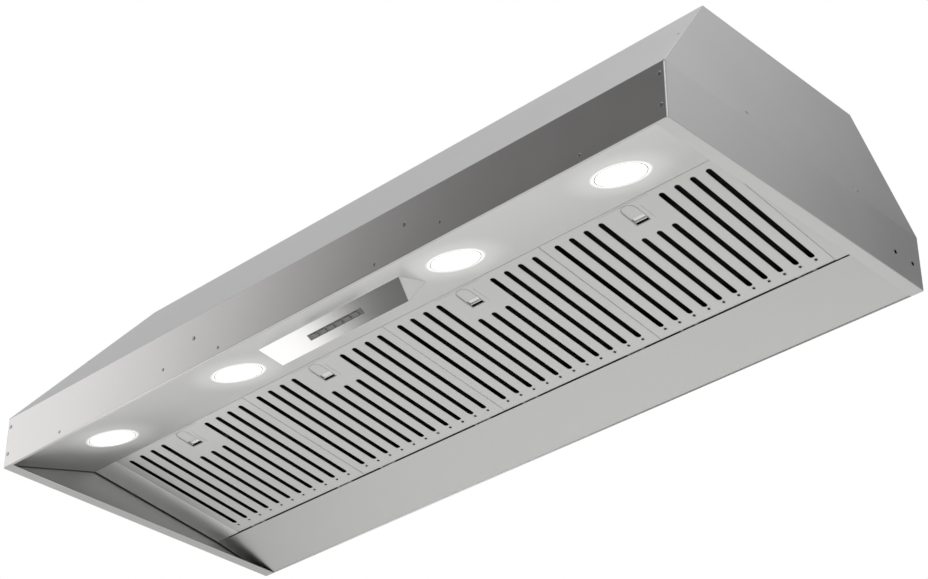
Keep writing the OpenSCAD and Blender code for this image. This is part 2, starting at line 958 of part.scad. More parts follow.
module wiring() {
    back = rear_y - 12;
    right = half_w - harness_inset;
    can_y = light_y + lamp_u * cos(light_rise) - (lamp_can_h + liner_t) * sin(light_rise);
    can_z = light_front_z + lamp_u * sin(light_rise) + (lamp_can_h + liner_t) * cos(light_rise);
    run_z = can_z + 8;
    motor_mid = motor_x + motor_len / 2 + 20;
    color("#44474b") {
        lead([[box_x + box_size[0], back, box_z + 15], [driver_x, back, box_z + 15]]);
        lead([[box_x + box_size[0], back - 20, box_z + 60], [motor_mid, back - 20, box_z + 60],
              [motor_mid, back - 20, blower_z], [motor_mid, blower_y + motor_r, blower_z]]);
        lead([[driver_x + driver_size[0], back, box_z + 22], [right, back, box_z + 22],
              [right, back, harness_z], [right, can_y, harness_z], [right, can_y, run_z],
              [lamp_x[0], can_y, run_z]]);
        for (x = lamp_x)
            lead([[x, can_y, run_z], [x, can_y, can_z + 1]]);
        lead([[console_x, can_y, run_z], [console_x, can_y, can_z - 22]]);
    }
}

// Low round head with its shank, +Z outward
module screw(head_r) {
    cylinder(r = head_r, h = 0.8);
    translate([0, 0, -4]) cylinder(r = shank_r, h = 4.4);
}

module screws() {
    color("#c9c9c7") {
        at_corner_screws() screw(3.2);
        at_end_slope() screw(3);
    }
}

module rivets() {
    color("#b9b9b7") {
        at_band(band_rivets) screw(2.4);
        at_band(band_bolts) screw(4);
        at_hip() screw(2.4);
    }
}

front_band();
front_slope_panel();
left_end_panel();
right_end_panel();
back_panel();
top_panel();
light_panel();
left_liner_strip();
right_liner_strip();
rear_liner_panel();
filter_hook_rail();
control_housing();
button_bezel();
control_board();
lamp_cans();
led_boards();
blower_scroll();
blower_side_left();
blower_side_right();
blower_motor();
motor_bracket();
motor_shaft();
impeller();
duct_collar();
damper_rod();
damper_flap_front();
damper_flap_rear();
power_box();
power_box_cover();
cable_gland();
lamp_driver();
wiring();
screws();
rivets();
for (i = LAMPS) lamp_lens(i);
for (i = FILTERS) {
    filter_face(i);
    filter_tray(i);
    latch(i);
}
for (i = BUTTONS) button(i);
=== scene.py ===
import math
import bmesh
import bpy
from mathutils import Matrix, Vector


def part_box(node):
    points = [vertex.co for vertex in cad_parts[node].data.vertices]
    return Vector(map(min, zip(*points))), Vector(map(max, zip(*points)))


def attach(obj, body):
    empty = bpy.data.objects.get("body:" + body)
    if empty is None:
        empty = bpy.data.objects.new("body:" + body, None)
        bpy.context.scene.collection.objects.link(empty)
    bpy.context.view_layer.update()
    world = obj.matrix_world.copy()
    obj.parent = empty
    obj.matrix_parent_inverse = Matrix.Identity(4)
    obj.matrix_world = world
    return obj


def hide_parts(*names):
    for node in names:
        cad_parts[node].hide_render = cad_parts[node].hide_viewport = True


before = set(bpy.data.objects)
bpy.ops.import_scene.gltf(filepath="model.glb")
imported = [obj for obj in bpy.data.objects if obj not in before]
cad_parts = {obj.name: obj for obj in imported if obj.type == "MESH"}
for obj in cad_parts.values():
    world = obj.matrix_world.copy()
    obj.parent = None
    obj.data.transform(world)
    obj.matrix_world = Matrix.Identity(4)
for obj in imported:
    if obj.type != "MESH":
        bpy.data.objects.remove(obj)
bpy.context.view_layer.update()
mm = 0.001
print("frame loaded")

# Sizes that several pieces share, each piece's own sizes stand beside its code
shell = dict(sheet=1.2 * mm, endRim=18 * mm, lip=4 * mm, bend=0.8 * mm, corner=4 * mm,
             endInset=73 * mm, frontInset=180 * mm)
liner = dict(sheet=1 * mm, fall=math.radians(7.24), creaseDepth=152 * mm, creaseZ=50.3 * mm,
             frontZ=4.55 * mm, frontFlange=22 * mm, bend=0.5 * mm, gapFront=233.1 * mm,
             gapRear=235.6 * mm, gapEnd=28 * mm, rearFlange=18 * mm, rearLift=0.1 * mm, tabLap=1 * mm)
filters = dict(count=4, depth=232.4 * mm, front=0.15 * mm, spare=0.15 * mm, height=12 * mm,
               sheet=0.8 * mm, slots=11, shortSlots=3, pitch=23 * mm, slotWidth=7.5 * mm,
               longFront=11.4 * mm, shortFront=63.8 * mm, slotRear=213 * mm, drain=218.4 * mm,
               drainRing=2.3 * mm, drainRoll=0.5 * mm, drainSink=0.44 * mm, edgeRoll=0.4 * mm)


# Frames and places
bandLow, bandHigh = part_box("front_band")
halfW, frontY, skirtZ = bandHigh.x, bandLow.y, bandHigh.z
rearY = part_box("back_panel")[1].y
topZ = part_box("top_panel")[1].z
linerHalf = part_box("light_panel")[1].x
creaseY = frontY + liner["creaseDepth"]
lightY = frontY + shell["sheet"]
rise = math.atan2(liner["creaseZ"] - liner["frontZ"], creaseY - lightY)
linerFrame = Matrix.Translation((0, creaseY, liner["creaseZ"])) @ Matrix.Rotation(-liner["fall"], 4, "X")
lightFrame = Matrix.Translation((0, lightY, liner["frontZ"])) @ Matrix.Rotation(rise, 4, "X")


def halfAt(z):
    return halfW - shell["endInset"] * max(0, z - skirtZ) / (topZ - skirtZ)


def frontAt(z):
    return frontY + shell["frontInset"] * max(0, z - skirtZ) / (topZ - skirtZ)


def filterFrame(i):
    low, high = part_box("filter_face_%d" % (i + 1))
    return Matrix.Translation(((low.x + high.x) / 2, 0, 0)) @ linerFrame


# Mesh helpers
def roundBends(points, radius, steps=5):
    path = [Vector(points[0])]
    for before, corner, after in zip(points, points[1:], points[2:]):
        before, corner, after = Vector(before), Vector(corner), Vector(after)
        a, b = before - corner, after - corner
        cut = min(radius, 0.45 * a.length, 0.45 * b.length)
        start, end = corner + cut * a.normalized(), corner + cut * b.normalized()
        for k in range(steps + 1):
            t = k / steps
            path.append((1 - t) ** 2 * start + 2 * t * (1 - t) * corner + t * t * end)
    path.append(Vector(points[-1]))
    return path


def offsetPath(path, thickness):
    result = []
    for i, point in enumerate(path):
        before = path[i] - path[i - 1] if i else path[1] - path[0]
        after = path[i + 1] - path[i] if i + 1 < len(path) else before
        n1 = Vector((-before.y, before.x)).normalized()
        n2 = Vector((-after.y, after.x)).normalized()
        result.append(point + thickness * (n1 + n2) / (1 + n1.dot(n2)))
    return result


def meshFrom(name, verts, faces):
    mesh = bpy.data.meshes.new(name)
    mesh.from_pydata([tuple(v) for v in verts], [], faces)
    return mesh


def addObject(name, data):
    piece = bpy.data.objects.new(name, data)
    bpy.context.scene.collection.objects.link(piece)
    return piece


# The mesh as its modifiers leave it takes their place
def bakeModifiers(piece):
    view = bpy.context.evaluated_depsgraph_get()
    plain = bpy.data.meshes.new_from_object(piece.evaluated_get(view))
    piece.modifiers.clear()
    piece.data = plain


def makePiece(name, verts, faces, material, body, slot, place=None, bevel=0, angle=32):
    mesh = meshFrom(name, verts, faces)
    work = bmesh.new()
    work.from_mesh(mesh)
    bmesh.ops.remove_doubles(work, verts=work.verts, dist=1e-6)
    bmesh.ops.recalc_face_normals(work, faces=work.faces)
    if bevel:
        sharp = [e for e in work.edges if len(e.link_faces) == 2 and e.calc_face_angle() > 0.5]
        bmesh.ops.bevel(work, geom=sharp, offset=bevel, segments=2, profile=0.6, affect="EDGES")
    work.to_mesh(mesh)
    work.free()
    return finishPiece(mesh, name, material, body, place, angle)


def finishPiece(mesh, name, material, body, place=None, angle=32):
    if place is not None:
        mesh.transform(place)
    mesh.materials.clear()
    mesh.materials.append(material)
    for polygon in mesh.polygons:
        polygon.use_smooth = True
    mesh.set_sharp_from_angle(angle=math.radians(angle))
    piece = addObject(name, mesh)
    evenNormals(piece)
    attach(piece, body)
    return piece


# Flat faces keep their own direction, so that only the bends shade softly
def evenNormals(piece):
    weigh = piece.modifiers.new("weigh", "WEIGHTED_NORMAL")
    weigh.keep_sharp = True
    bakeModifiers(piece)


# Bent sheet along a path of two coordinates, with its ends given by a function of each point
def sheetMesh(path, thickness, ends, axis):
    inner = offsetPath(path, thickness)
    verts, faces = [], []
    for a, b in zip(path, inner):
        for p in (a, b):
            for t in ends(p):
                verts.append((t, p.x, p.y) if axis == "x" else (p.x, t, p.y))
    for i in range(len(path) - 1):
        k, n = 4 * i, 4 * i + 4
        faces += [(k, k + 1, n + 1, n), (k + 2, n + 2, n + 3, k + 3),
                  (k, n, n + 2, k + 2), (k + 1, k + 3, n + 3, n + 1)]
    last = 4 * len(path) - 4
    faces += [(0, 2, 3, 1), (last, last + 1, last + 3, last + 2)]
    return verts, faces


def boxMesh(low, high):
    verts = [(x, y, z) for x in (low[0], high[0]) for y in (low[1], high[1]) for z in (low[2], high[2])]
    faces = [(0, 1, 3, 2), (4, 6, 7, 5), (0, 4, 5, 1), (2, 3, 7, 6), (0, 2, 6, 4), (1, 5, 7, 3)]
    return verts, faces


def prismMesh(outline, low, high):
    n = len(outline)
    verts = [(x, y, z) for z in (low, high) for x, y in outline]
    faces = [tuple(range(n))[::-1], tuple(range(n, 2 * n))]
    faces += [(i, (i + 1) % n, n + (i + 1) % n, n + i) for i in range(n)]
    return verts, faces


def latheMesh(profile, steps):
    verts, faces = [], []
    for k in range(steps):
        a = 2 * math.pi * k / steps
        verts += [(r * math.cos(a), r * math.sin(a), z) for r, z in profile]
    n = len(profile)
    for k in range(steps):
        m = (k + 1) % steps
        faces += [(k * n + i, m * n + i, m * n + i + 1, k * n + i + 1) for i in range(n - 1)]
    return verts, faces


def joinMeshes(*parts):
    verts, faces = [], []
    for v, f in parts:
        base = len(verts)
        verts += list(v)
        faces += [tuple(base + i for i in face) for face in f]
    return verts, faces


def moved(part, matrix):
    return [matrix @ Vector(v) for v in part[0]], part[1]


# Nodes of materials and of Geometry Nodes
def fill(tree, node, values):
    for key, value in values.items():
        if isinstance(value, bpy.types.NodeSocket):
            tree.links.new(value, node.inputs[key])
        else:
            node.inputs[key].default_value = value


def addNode(tree, kind, values=None, **settings):
    node = tree.nodes.new(kind)
    for key, value in settings.items():
        setattr(node, key, value)
    fill(tree, node, values or {})
    return node


def calc(tree, operation, a, b=0.0, clamp=False):
    return addNode(tree, "ShaderNodeMath", {0: a, 1: b}, operation=operation, use_clamp=clamp).outputs[0]


def triple(tree, x=0.0, y=0.0, z=0.0):
    return addNode(tree, "ShaderNodeCombineXYZ", {0: x, 1: y, 2: z}).outputs[0]


def axisOf(tree, vector, axis):
    return addNode(tree, "ShaderNodeSeparateXYZ", {0: vector}).outputs[axis]


def remap(tree, value, low, high, start=0.0, end=1.0, curve="LINEAR"):
    return addNode(tree, "ShaderNodeMapRange", {
        "Value": value, "From Min": low, "From Max": high, "To Min": start, "To Max": end},
        interpolation_type=curve).outputs[0]


# A noise value lies mostly between these two, and is spread from low to high
def spread(tree, value, low, high):
    return remap(tree, value, 0.3, 0.7, low, high)


def noise(tree, place, size, detail, rough=0.5):
    return addNode(tree, "ShaderNodeTexNoise", {"Vector": place, "Scale": size, "Detail": detail,
                                                "Roughness": rough}).outputs[0]


def scaled(tree, colour, factor):
    return addNode(tree, "ShaderNodeVectorMath", {0: triple(tree, *colour), "Scale": factor},
                   operation="SCALE").outputs[0]


def bump(tree, height, strength, distance):
    return addNode(tree, "ShaderNodeBump", {"Height": height, "Strength": strength,
                                            "Distance": distance}).outputs[0]


def newMaterial(name):
    material = bpy.data.materials.new(name)
    material.use_nodes = True
    tree = material.node_tree
    shader = tree.nodes["Principled BSDF"]
    place = addNode(tree, "ShaderNodeTexCoord").outputs["Object"]
    return material, tree, shader, place


# Brushed sheet: fine lines along one axis, faint smudges and a small change of tone
def brushedSteel(name, colour, rough, grain, tint=None):
    material, tree, shader, place = newMaterial(name)
    stretch = [2300.0, 2300.0, 2300.0]
    stretch["xyz".index(grain)] = 24.0
    lines = addNode(tree, "ShaderNodeMapping", {"Vector": place, "Scale": stretch}).outputs[0]
    hair = noise(tree, lines, 1.0, 5.0, 0.62)
    smudge = noise(tree, place, 7.0, 3.0, 0.55)
    tone = calc(tree, "MULTIPLY", spread(tree, hair, 0.988, 1.01), spread(tree, smudge, 0.975, 1.02))
    if tint is not None:
        tone = calc(tree, "MULTIPLY", tone, tint(tree, place))
    gloss = calc(tree, "ADD", spread(tree, hair, rough - 0.015, rough + 0.02),
                 spread(tree, smudge, -0.02, 0.035))
    fill(tree, shader, {"Base Color": scaled(tree, colour, tone), "Metallic": 1.0, "Roughness": gloss,
                        "Normal": bump(tree, hair, 0.03, 0.02 * mm)})
    return material


def mottled(name, colour, rough, metallic, size, depth=0.08 * mm, contrast=0.1):
    material, tree, shader, place = newMaterial(name)
    grain = noise(tree, place, size, 4.0)
    tone = spread(tree, grain, 1 - contrast, 1 + contrast)
    fill(tree, shader, {"Base Color": scaled(tree, colour, tone), "Metallic": metallic,
                        "Roughness": spread(tree, grain, rough - 0.06, rough + 0.06),
                        "Normal": bump(tree, grain, 0.3, depth)})
    return material


# Large crystals of zinc on galvanised sheet
def galvanised(name, colour):
    material, tree, shader, place = newMaterial(name)
    cells = addNode(tree, "ShaderNodeTexVoronoi", {"Vector": place, "Scale": 95.0}).outputs["Color"]
    tone = calc(tree, "ADD", calc(tree, "MULTIPLY", cells, 0.28), 0.84)
    gloss = calc(tree, "ADD", calc(tree, "MULTIPLY", cells, 0.2), 0.32)
    fill(tree, shader, {"Base Color": scaled(tree, colour, tone), "Metallic": 1.0, "Roughness": gloss})
    return material


# Painted shade: the light panel's colour is darker in the corner beside the left end panel, where that
# panel shades it
def paintedCornerShade(tree, place):
    return remap(tree, axisOf(tree, place, 0), 10 * mm - linerHalf, 130 * mm - linerHalf, 0.62, 1.0,
                 "SMOOTHSTEP")


# halo and glare give the strength and reach of the painted glow round each lamp on the light panel
lamp = dict(count=4, u=84.4 * mm, radius=31.75 * mm, gap=0.12 * mm, ring=1.7 * mm, dome=0.77 * mm,
            lip=1 * mm, depth=3 * mm, steps=96, ringSeam=0.05 * mm, glow=2.6, halo=0.11,
            haloReach=48 * mm, glare=0.55, glareReach=7 * mm)


# Painted light: the sheet round each lamp glows, standing in for the soft light that each lamp throws on it
def paintLampHalo(material, centres):
    tree = material.node_tree
    place = [n for n in tree.nodes if n.bl_idname == "ShaderNodeTexCoord"][0].outputs["Object"]
    total = 0.0
    for centre in centres:
        away = addNode(tree, "ShaderNodeVectorMath", {0: place, 1: centre}, operation="DISTANCE")
        for gain, reach in ((lamp["halo"], lamp["haloReach"]), (lamp["glare"], lamp["glareReach"])):
            share = remap(tree, away.outputs["Value"], lamp["radius"], lamp["radius"] + reach, gain, 0.0,
                          "SMOOTHERSTEP")
            total = calc(tree, "ADD", total, share)
    fill(tree, tree.nodes["Principled BSDF"], {"Emission Color": (1.0, 0.99, 0.96, 1),
                                               "Emission Strength": total})


# Milky lens with a fine pattern of cells in its glow
def litLens(name, glow):
    material, tree, shader, place = newMaterial(name)
    cells = addNode(tree, "ShaderNodeTexVoronoi", {"Vector": place, "Scale": 420.0}).outputs["Distance"]
    fill(tree, shader, {"Base Color": (0.95, 0.95, 0.93, 1), "Roughness": 0.3,
                        "Emission Color": (1.0, 0.995, 0.98, 1),
                        "Emission Strength": spread(tree, cells, glow * 1.08, glow * 0.92)})
    return material


# Painted shade: the filters' trays are dark on their lower faces and lighter on their upper side
def shadedTray(name, dark, upperTone):
    material, tree, shader, place = newMaterial(name)
    upward = axisOf(tree, addNode(tree, "ShaderNodeTexCoord").outputs["Normal"], 2)
    grain = noise(tree, place, 60.0, 4.0)
    side = remap(tree, upward, 0.5, 0.9, dark, upperTone)
    shade = calc(tree, "MULTIPLY", side, spread(tree, grain, 0.9, 1.1))
    fill(tree, shader, {"Base Color": triple(tree, shade, shade, shade), "Metallic": 1.0,
                        "Roughness": spread(tree, grain, 0.4, 0.52)})
    return material


# Copies of one brushed stainless steel with a tone for each face, painted light and shade for how that face
# is lit: the band, slopes, ends, rim, back and inner end faces of the outer sheet, and the light panel,
# side strips and rear of the liner
steelBand = brushedSteel("steelBand", (0.63, 0.615, 0.61), 0.30, "x")
steelSlope = brushedSteel("steelSlope", (0.67, 0.67, 0.68), 0.34, "x")
steelEnd = brushedSteel("steelEnd", (0.55, 0.55, 0.55), 0.34, "y")
steelRim = brushedSteel("steelRim", (0.66, 0.66, 0.65), 0.34, "y")
steelBack = brushedSteel("steelBack", (0.60, 0.60, 0.61), 0.36, "x")
steelInnerShaded = brushedSteel("steelInnerShaded", (0.46, 0.46, 0.455), 0.36, "y")
steelLight = brushedSteel("steelLight", (0.78, 0.78, 0.77), 0.34, "x", paintedCornerShade)
steelSideLit = brushedSteel("steelSideLit", (0.94, 0.94, 0.93), 0.42, "y")
steelLiner = brushedSteel("steelLiner", (0.66, 0.66, 0.645), 0.36, "x")
steelFilter = brushedSteel("steelFilter", (0.70, 0.70, 0.68), 0.38, "x")
steelConsole = brushedSteel("steelConsole", (0.66, 0.655, 0.65), 0.15, "x")
steelLatch = brushedSteel("steelLatch", (0.80, 0.80, 0.78), 0.24, "y")
lampGlow = litLens("lampGlow", lamp["glow"])
trayMetal = shadedTray("trayMetal", 0.11, 0.46)
steelRail = mottled("steelRail", (0.34, 0.34, 0.33), 0.45, 1.0, 60)
steelBright = mottled("steelBright", (0.50, 0.50, 0.50), 0.28, 1.0, 300)
steelHead = mottled("steelHead", (0.38, 0.38, 0.38), 0.32, 1.0, 300)
zinc = galvanised("zinc", (0.62, 0.64, 0.66))
castAlloy = mottled("castAlloy", (0.70, 0.70, 0.71), 0.42, 1.0, 240)
paintDark = mottled("paintDark", (0.07, 0.07, 0.075), 0.45, 0.0, 160)
plasticDark = mottled("plasticDark", (0.13, 0.13, 0.13), 0.48, 0.0, 900, 0.03 * mm)
plasticButton = mottled("plasticButton", (0.33, 0.325, 0.32), 0.4, 0.0, 900, 0.03 * mm)
plasticGrey = mottled("plasticGrey", (0.27, 0.265, 0.26), 0.42, 0.0, 900, 0.03 * mm)
plasticWhite = mottled("plasticWhite", (0.78, 0.78, 0.75), 0.45, 0.0, 700, 0.03 * mm, 0.04)
boardGreen = mottled("boardGreen", (0.03, 0.17, 0.06), 0.4, 0.0, 120)
leadBlack = mottled("leadBlack", (0.04, 0.04, 0.045), 0.5, 0.0, 400)
print("materials made")


# Geometry Nodes helpers
def startGroup(name, values):
    tree = bpy.data.node_groups.new(name, "GeometryNodeTree")
    sockets = [(label, "Int" if isinstance(value, int) else "Float") for label, value in values.items()]
    for label, kind in [("Geometry", "Geometry")] + sockets:
        tree.interface.new_socket(name=label, in_out="INPUT", socket_type="NodeSocket" + kind)
    tree.interface.new_socket(name="Geometry", in_out="OUTPUT", socket_type="NodeSocketGeometry")
    return tree, tree.nodes.new("NodeGroupInput").outputs


def joinAll(tree, *parts):
    node = tree.nodes.new("GeometryNodeJoinGeometry")
    for part in parts:
        tree.links.new(part, node.inputs[0])
    return node.outputs[0]


def shift(tree, part, x=0.0, y=0.0, z=0.0):
    return addNode(tree, "GeometryNodeTransform",
                   {"Geometry": part, "Translation": triple(tree, x, y, z)}).outputs[0]


def rectangle(tree, width, height):
    return addNode(tree, "GeometryNodeCurvePrimitiveQuadrilateral",
                   {"Width": width, "Height": height}).outputs[0]


def rounded(tree, curve, radius, count=8):
    return addNode(tree, "GeometryNodeFilletCurve", {"Curve": curve, "Count": count, "Radius": radius,
                                                     "Limit Radius": True}, mode="POLY").outputs[0]


# Flat outline with its holes, pushed up to a sheet of one thickness with both faces
def raised(tree, outline, thickness):
    flat = addNode(tree, "GeometryNodeFillCurve", {"Curve": outline}, mode="TRIANGLES").outputs[0]
    push = addNode(tree, "GeometryNodeExtrudeMesh", {
        "Mesh": flat, "Offset": (0, 0, 1), "Offset Scale": thickness, "Individual": False}).outputs[0]
    under = addNode(tree, "GeometryNodeFlipFaces", {"Mesh": flat}).outputs[0]
    return addNode(tree, "GeometryNodeMergeByDistance",
                   {"Geometry": joinAll(tree, under, push), "Distance": 1e-6}).outputs[0]


def boolean(tree, part, cutter):
    return addNode(tree, "GeometryNodeMeshBoolean", {"Mesh 1": part, "Mesh 2": cutter},
                   operation="DIFFERENCE").outputs[0]


def cuboid(tree, x, y, z):
    return addNode(tree, "GeometryNodeMeshCube", {"Size": triple(tree, x, y, z)}).outputs[0]


def roll(tree, curve, radius, resolution=8):
    ring = addNode(tree, "GeometryNodeCurvePrimitiveCircle", {"Resolution": resolution, "Radius": radius})
    tube = addNode(tree, "GeometryNodeCurveToMesh", {"Curve": curve, "Profile Curve": ring.outputs[0]})
    return shift(tree, tube.outputs[0], z=radius)


def endGroup(tree, part, material):
    real = addNode(tree, "GeometryNodeRealizeInstances", {"Geometry": part}).outputs[0]
    painted = addNode(tree, "GeometryNodeSetMaterial", {"Geometry": real, "Material": material}).outputs[0]
    tree.links.new(painted, tree.nodes.new("NodeGroupOutput").inputs[0])


def applyGroup(name, tree, values, mesh=None):
    carrier = addObject(name, mesh or bpy.data.meshes.new(name + "Points"))
    modifier = carrier.modifiers.new("nodes", "NODES")
    modifier.node_group = tree
    for item in tree.interface.items_tree:
        if item.in_out == "INPUT" and item.name in values:
            modifier[item.identifier] = values[item.name]
    bakeModifiers(carrier)
    plain = carrier.data
    bpy.data.objects.remove(carrier)
    return plain


cup = dict(width=19.6 * mm, shift=-2.6 * mm, front=5.6 * mm, rear=40.8 * mm, window=29.2 * mm,
           height=1.6 * mm, line=0.3 * mm, seam=0.85 * mm, lineFront=3.4 * mm, lineSide=14.6 * mm,
           lineMiddle=28.3 * mm, lineLength=29.4 * mm, windowEdge=0.3 * mm, corner=1.5 * mm)
latch = dict(width=73 * mm, z=2 * mm, thickness=1.2 * mm, rear=52 * mm, tongue=2.8 * mm,
             finger=36.8 * mm, fingerLow=0.4 * mm, fingerSheet=1 * mm, fingerBend=1.3 * mm, tab=19 * mm,
             tabEdge=0.3 * mm, holeFront=8 * mm, holeRear=48 * mm, play=0.4 * mm, slotEdge=0.5 * mm,
             slotReach=(-3 * mm, 1 * mm), rimCut=12 * mm)


# Filter face: a sheet with slots, drain holes and a cup, its folded rim and rolled edges
def filterGroup(sizes):
    tree, given = startGroup("slottedFace", sizes)

    def add(a, b):
        return calc(tree, "ADD", a, b)

    def minus(a, b):
        return calc(tree, "SUBTRACT", a, b)

    def half(a):
        return calc(tree, "MULTIPLY", a, 0.5)

    def double(a):
        return calc(tree, "MULTIPLY", a, 2.0)

    depth = minus(given["Rear"], given["Front"])
    middle = half(add(given["Rear"], given["Front"]))
    edge = double(given["Roll"])
    outline = shift(tree, rectangle(tree, minus(given["Width"], edge), minus(depth, edge)), y=middle)
    outer = shift(tree, rectangle(tree, given["Width"], depth), y=middle)
    wall = double(given["Sheet"])
    inner = shift(tree, rectangle(tree, minus(given["Width"], wall), minus(depth, wall)), y=middle)

    def slotCurve(front):
        width = add(given["Slot Width"], edge)
        length = add(minus(given["Slot Rear"], front), edge)
        shape = rounded(tree, rectangle(tree, width, length), calc(tree, "MULTIPLY", width, 0.499), 7)
        return shift(tree, shape, y=half(add(given["Slot Rear"], front)))

    def along(shape, chosen=True):
        row = addNode(tree, "GeometryNodeInstanceOnPoints", {"Points": line, "Selection": chosen,
                                                             "Instance": shape}).outputs[0]
        return addNode(tree, "GeometryNodeRealizeInstances", {"Geometry": row}).outputs[0]

    last = minus(given["Slots"], 1.0)
    start = calc(tree, "MULTIPLY", half(last), minus(0.0, given["Pitch"]))
    line = addNode(tree, "GeometryNodeMeshLine", {
        "Count": given["Slots"], "Start Location": triple(tree, start),
        "Offset": triple(tree, given["Pitch"])}).outputs[0]
    index = addNode(tree, "GeometryNodeInputIndex").outputs[0]
    away = calc(tree, "ABSOLUTE", minus(index, half(last)))
    reach = half(given["Short Slots"])
    slots = joinAll(tree, along(slotCurve(given["Long Front"]), calc(tree, "GREATER_THAN", away, reach)),
                    along(slotCurve(given["Short Front"]), calc(tree, "LESS_THAN", away, reach)))
    drainHole = addNode(tree, "GeometryNodeCurvePrimitiveCircle",
                        {"Resolution": 16, "Radius": given["Drain Ring"]}).outputs[0]
    drains = shift(tree, along(drainHole), y=given["Drain"])

    def cupCurve(grow):
        width = add(given["Cup Width"], double(grow))
        length = add(minus(given["Cup Rear"], given["Cup Front"]), double(grow))
        shape = rectangle(tree, width, length)
        place = axisOf(tree, addNode(tree, "GeometryNodeInputPosition").outputs[0], 1)
        radius = addNode(tree, "GeometryNodeSwitch", {
            "Switch": calc(tree, "LESS_THAN", place, 0.0), "False": given["Cup Corner"],
            "True": calc(tree, "MULTIPLY", width, 0.498)}, input_type="FLOAT").outputs[0]
        return shift(tree, rounded(tree, shape, radius, 10), x=given["Cup Shift"],
                     y=half(add(given["Cup Rear"], given["Cup Front"])))

    cupInner = cupCurve(0.0)
    cupOuter = cupCurve(given["Sheet"])
    # Fine seams round the cup and beside it, where the latch housing is set in
    seam = joinAll(tree, cupCurve(given["Seam"]), cupCurve(add(given["Seam"], given["Line"])))
    frontLine = shift(tree, rectangle(tree, given["Latch Width"], given["Line"]),
                      x=given["Cup Shift"], y=given["Line Front"])
    sideLine = shift(tree, rectangle(tree, given["Line"], given["Line Length"]),
                     x=given["Line Side"], y=given["Line Middle"])
    face = raised(tree, joinAll(tree, outline, slots, drains, frontLine, sideLine, seam,
                                cupCurve(given["Roll"])), given["Sheet"])
    cupWall = raised(tree, joinAll(tree, cupOuter, cupInner), given["Cup Height"])
    windowLength = minus(given["Cup Rear"], given["Window"])
    window = shift(tree, rectangle(tree, minus(given["Cup Width"], double(given["Window Edge"])),
                                   windowLength),
                   x=given["Cup Shift"], y=half(add(given["Cup Rear"], given["Window"])))
    cupFloor = shift(tree, raised(tree, joinAll(tree, cupOuter, window), given["Sheet"]),
                     z=minus(given["Cup Height"], given["Sheet"]))
    rim = raised(tree, joinAll(tree, outer, inner), given["Height"])
    cutter = cuboid(tree, given["Latch Width"], given["Rim Cut"],
                    minus(given["Latch High"], given["Latch Low"]))
    rim = boolean(tree, rim, shift(tree, cutter, z=half(add(given["Latch High"], given["Latch Low"]))))
    dimple = shift(tree, roll(tree, drains, given["Drain Roll"]), z=minus(0.0, given["Drain Sink"]))
    rolls = [roll(tree, curve, given["Roll"]) for curve in (slots, outline, cupCurve(given["Roll"]))]
    endGroup(tree, joinAll(tree, face, cupWall, cupFloor, rim, dimple, *rolls), steelFilter)
    return tree


trayLow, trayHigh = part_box("filter_tray_1")
latchLow, latchHigh = latch["z"] - latch["play"], latch["z"] + latch["thickness"] + latch["play"]
faceSizes = {
    "Slots": filters["slots"], "Short Slots": filters["shortSlots"], "Front": filters["front"],
    "Width": trayHigh.x - trayLow.x + 2 * (filters["sheet"] + filters["spare"]), "Rear": filters["depth"],
    "Sheet": filters["sheet"], "Height": filters["height"], "Pitch": filters["pitch"],
    "Slot Width": filters["slotWidth"], "Long Front": filters["longFront"],
    "Short Front": filters["shortFront"], "Slot Rear": filters["slotRear"], "Roll": filters["edgeRoll"],
    "Drain": filters["drain"], "Drain Ring": filters["drainRing"], "Drain Roll": filters["drainRoll"],
    "Drain Sink": filters["drainSink"], "Cup Width": cup["width"], "Cup Shift": cup["shift"],
    "Cup Front": cup["front"], "Cup Rear": cup["rear"], "Cup Height": cup["height"],
    "Cup Corner": cup["corner"], "Window": cup["window"], "Window Edge": cup["windowEdge"],
    "Seam": cup["seam"], "Line": cup["line"], "Line Front": cup["lineFront"],
    "Line Side": cup["lineSide"], "Line Middle": cup["lineMiddle"], "Line Length": cup["lineLength"],
    "Latch Width": latch["width"] + 2 * latch["play"], "Latch Low": latchLow, "Latch High": latchHigh,
    "Rim Cut": latch["rimCut"]}
faceMesh = applyGroup("filterFaceMaker", filterGroup(faceSizes), faceSizes)
for i in range(filters["count"]):
    face = finishPiece(faceMesh.copy(), "filterFace_%d" % (i + 1), steelFilter, "filter_%d" % (i + 1),
                       filterFrame(i), 40)
    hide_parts("filter_face_%d" % (i + 1))
print("filter faces made")


